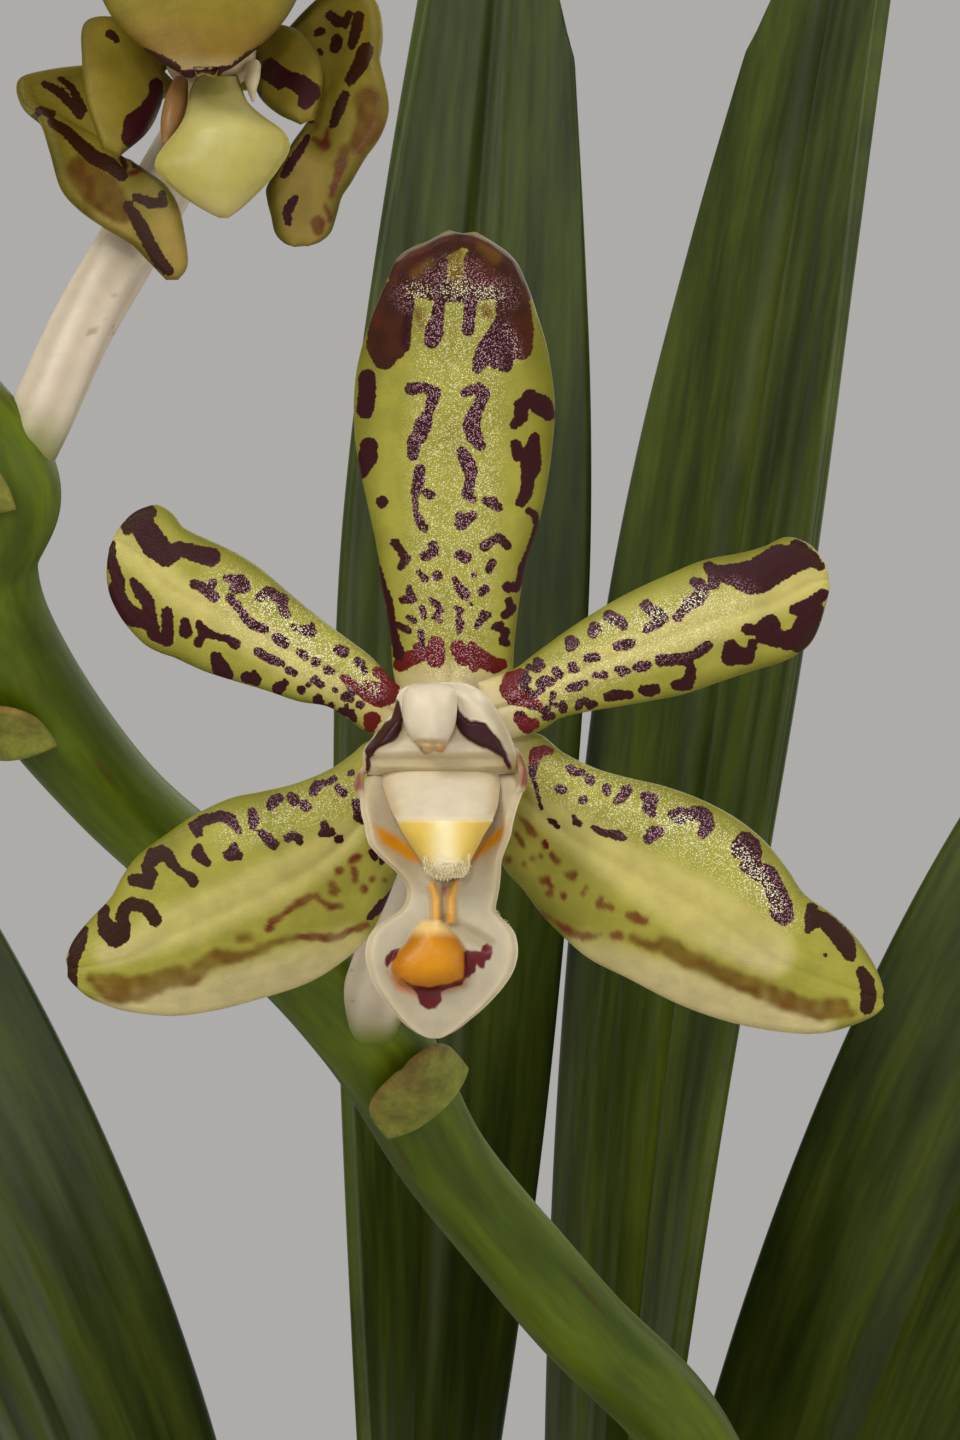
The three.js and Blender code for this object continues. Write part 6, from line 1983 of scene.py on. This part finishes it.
def add_flower(number, meshes, looks, heart, turn=0.0):
    for part, mesh in meshes.items():
        places, faces, values = stand(mesh, heart, turn)
        slot = "lip" if part in ("column", "anther_cap", "lip") else "tepal"
        node = f"flower_{number}_{part}"
        make_piece(node + "_look", places, faces, looks[slot], [node], values)


def open_flower(spacing, detail=1.0):
    """Meshes of an open flower. Its tepals' places lie spacing apart, in mm."""
    meshes = {part: tepal_mesh(*shape, spacing) for part, shape in OPEN_TEPALS.items()}
    meshes["column"] = column_mesh(int(COLUMN_RINGS * detail), int(COLUMN_SIDES * detail))
    meshes["anther_cap"] = cap_mesh()
    meshes["lip"] = lip_mesh(detail)
    return meshes


def young_flower():
    meshes = {part: young_tepal_mesh(part) for part in YOUNG_TEPALS}
    meshes["column"] = young_column_mesh()
    meshes["anther_cap"] = young_cap_mesh()
    meshes["lip"] = young_lip_mesh()
    return meshes


def add_plant():
    looks = {
        "tepal": flesh("tepal_flesh", 0.42, 0.95, 0.12),
        "lip": plain_flesh("lip_flesh", 0.36, 0.2),
        "pedicel": plain_flesh("pedicel_flesh", 0.5, 0.2),
        "bud": flesh("bud_skin", 0.45, 0.0, 0.1),
        "leaf": green_skin("leaf_skin", (36, 46, 6), (64, 74, 16), 0.4, 0.0, 0.1),
        "stem": green_skin("stem_skin", (66, 84, 30), (98, 110, 48), 0.5),
        "stalk": green_skin("stalk_skin", (58, 74, 2), (88, 104, 8), 0.45, 0.5),
        "root": dry_skin("root_skin", 1.5, 0.85, 0.12),
        "bark": dry_skin("bark_skin", 3.0, 0.92, 0.5),
        "bract": dry_skin("bract_skin", 1.2, 0.75, 0.08),
    }
    add_flower(1, open_flower(0.12), looks, HEART)
    add_flower(2, young_flower(), looks, HEART)
    add_flower(3, open_flower(0.25, 0.64), looks, SIDE_HEART, SIDE_TURN)

    def add(node, slot, mesh):
        make_piece(node + "_look", mesh[0], mesh[1], looks[slot], [node], mesh[2])

    for i, points in enumerate(PEDICELS):
        add(f"flower_{i + 1}_pedicel", "pedicel", stand(pedicel_mesh(points), HEART))
    for i, bud in enumerate(BUDS):
        add(f"bud_{i + 1}", "bud", stand(bud_mesh(*bud, i), HEART))
    for i, (knot, place) in enumerate(BRACTS.items()):
        add(f"bract_{i + 1}", "bract", stand(bract_mesh(knot, *place), HEART))
    add("flower_stalk", "stalk", stand(stalk_mesh(), HEART))
    add("stem", "stem", stem_mesh())
    for i in range(len(LEAVES)):
        add(f"leaf_{i + 1}", "leaf", leaf_mesh(i))
    for i in range(len(ROOTS)):
        add(f"aerial_root_{i + 1}", "root", root_mesh(i))
    add("bark_medium", "bark", bark_mesh())
    add_pot(terracotta())


def add_floor():
    around = np.arange(FLOOR_SIDES) * 2 * math.pi / FLOOR_SIDES
    ring = FLOOR_RADIUS * np.stack([np.cos(around), np.sin(around), 0 * around], axis=-1)
    places, faces = close_rings(np.stack([ring + [0, 0, z] for z in FLOOR_LEVELS]))
    mesh = bpy.data.meshes.new("floor")
    mesh.from_pydata(places.tolist(), [], faces)
    mesh.materials.append(floor_paint())
    floor = bpy.data.objects.new("floor", mesh)
    bpy.context.collection.objects.link(floor)


add_camera()
add_plant()
add_floor()
add_world()
for light in LIGHTS:
    add_light(*light)
bpy.context.scene.view_settings.view_transform = "Standard"
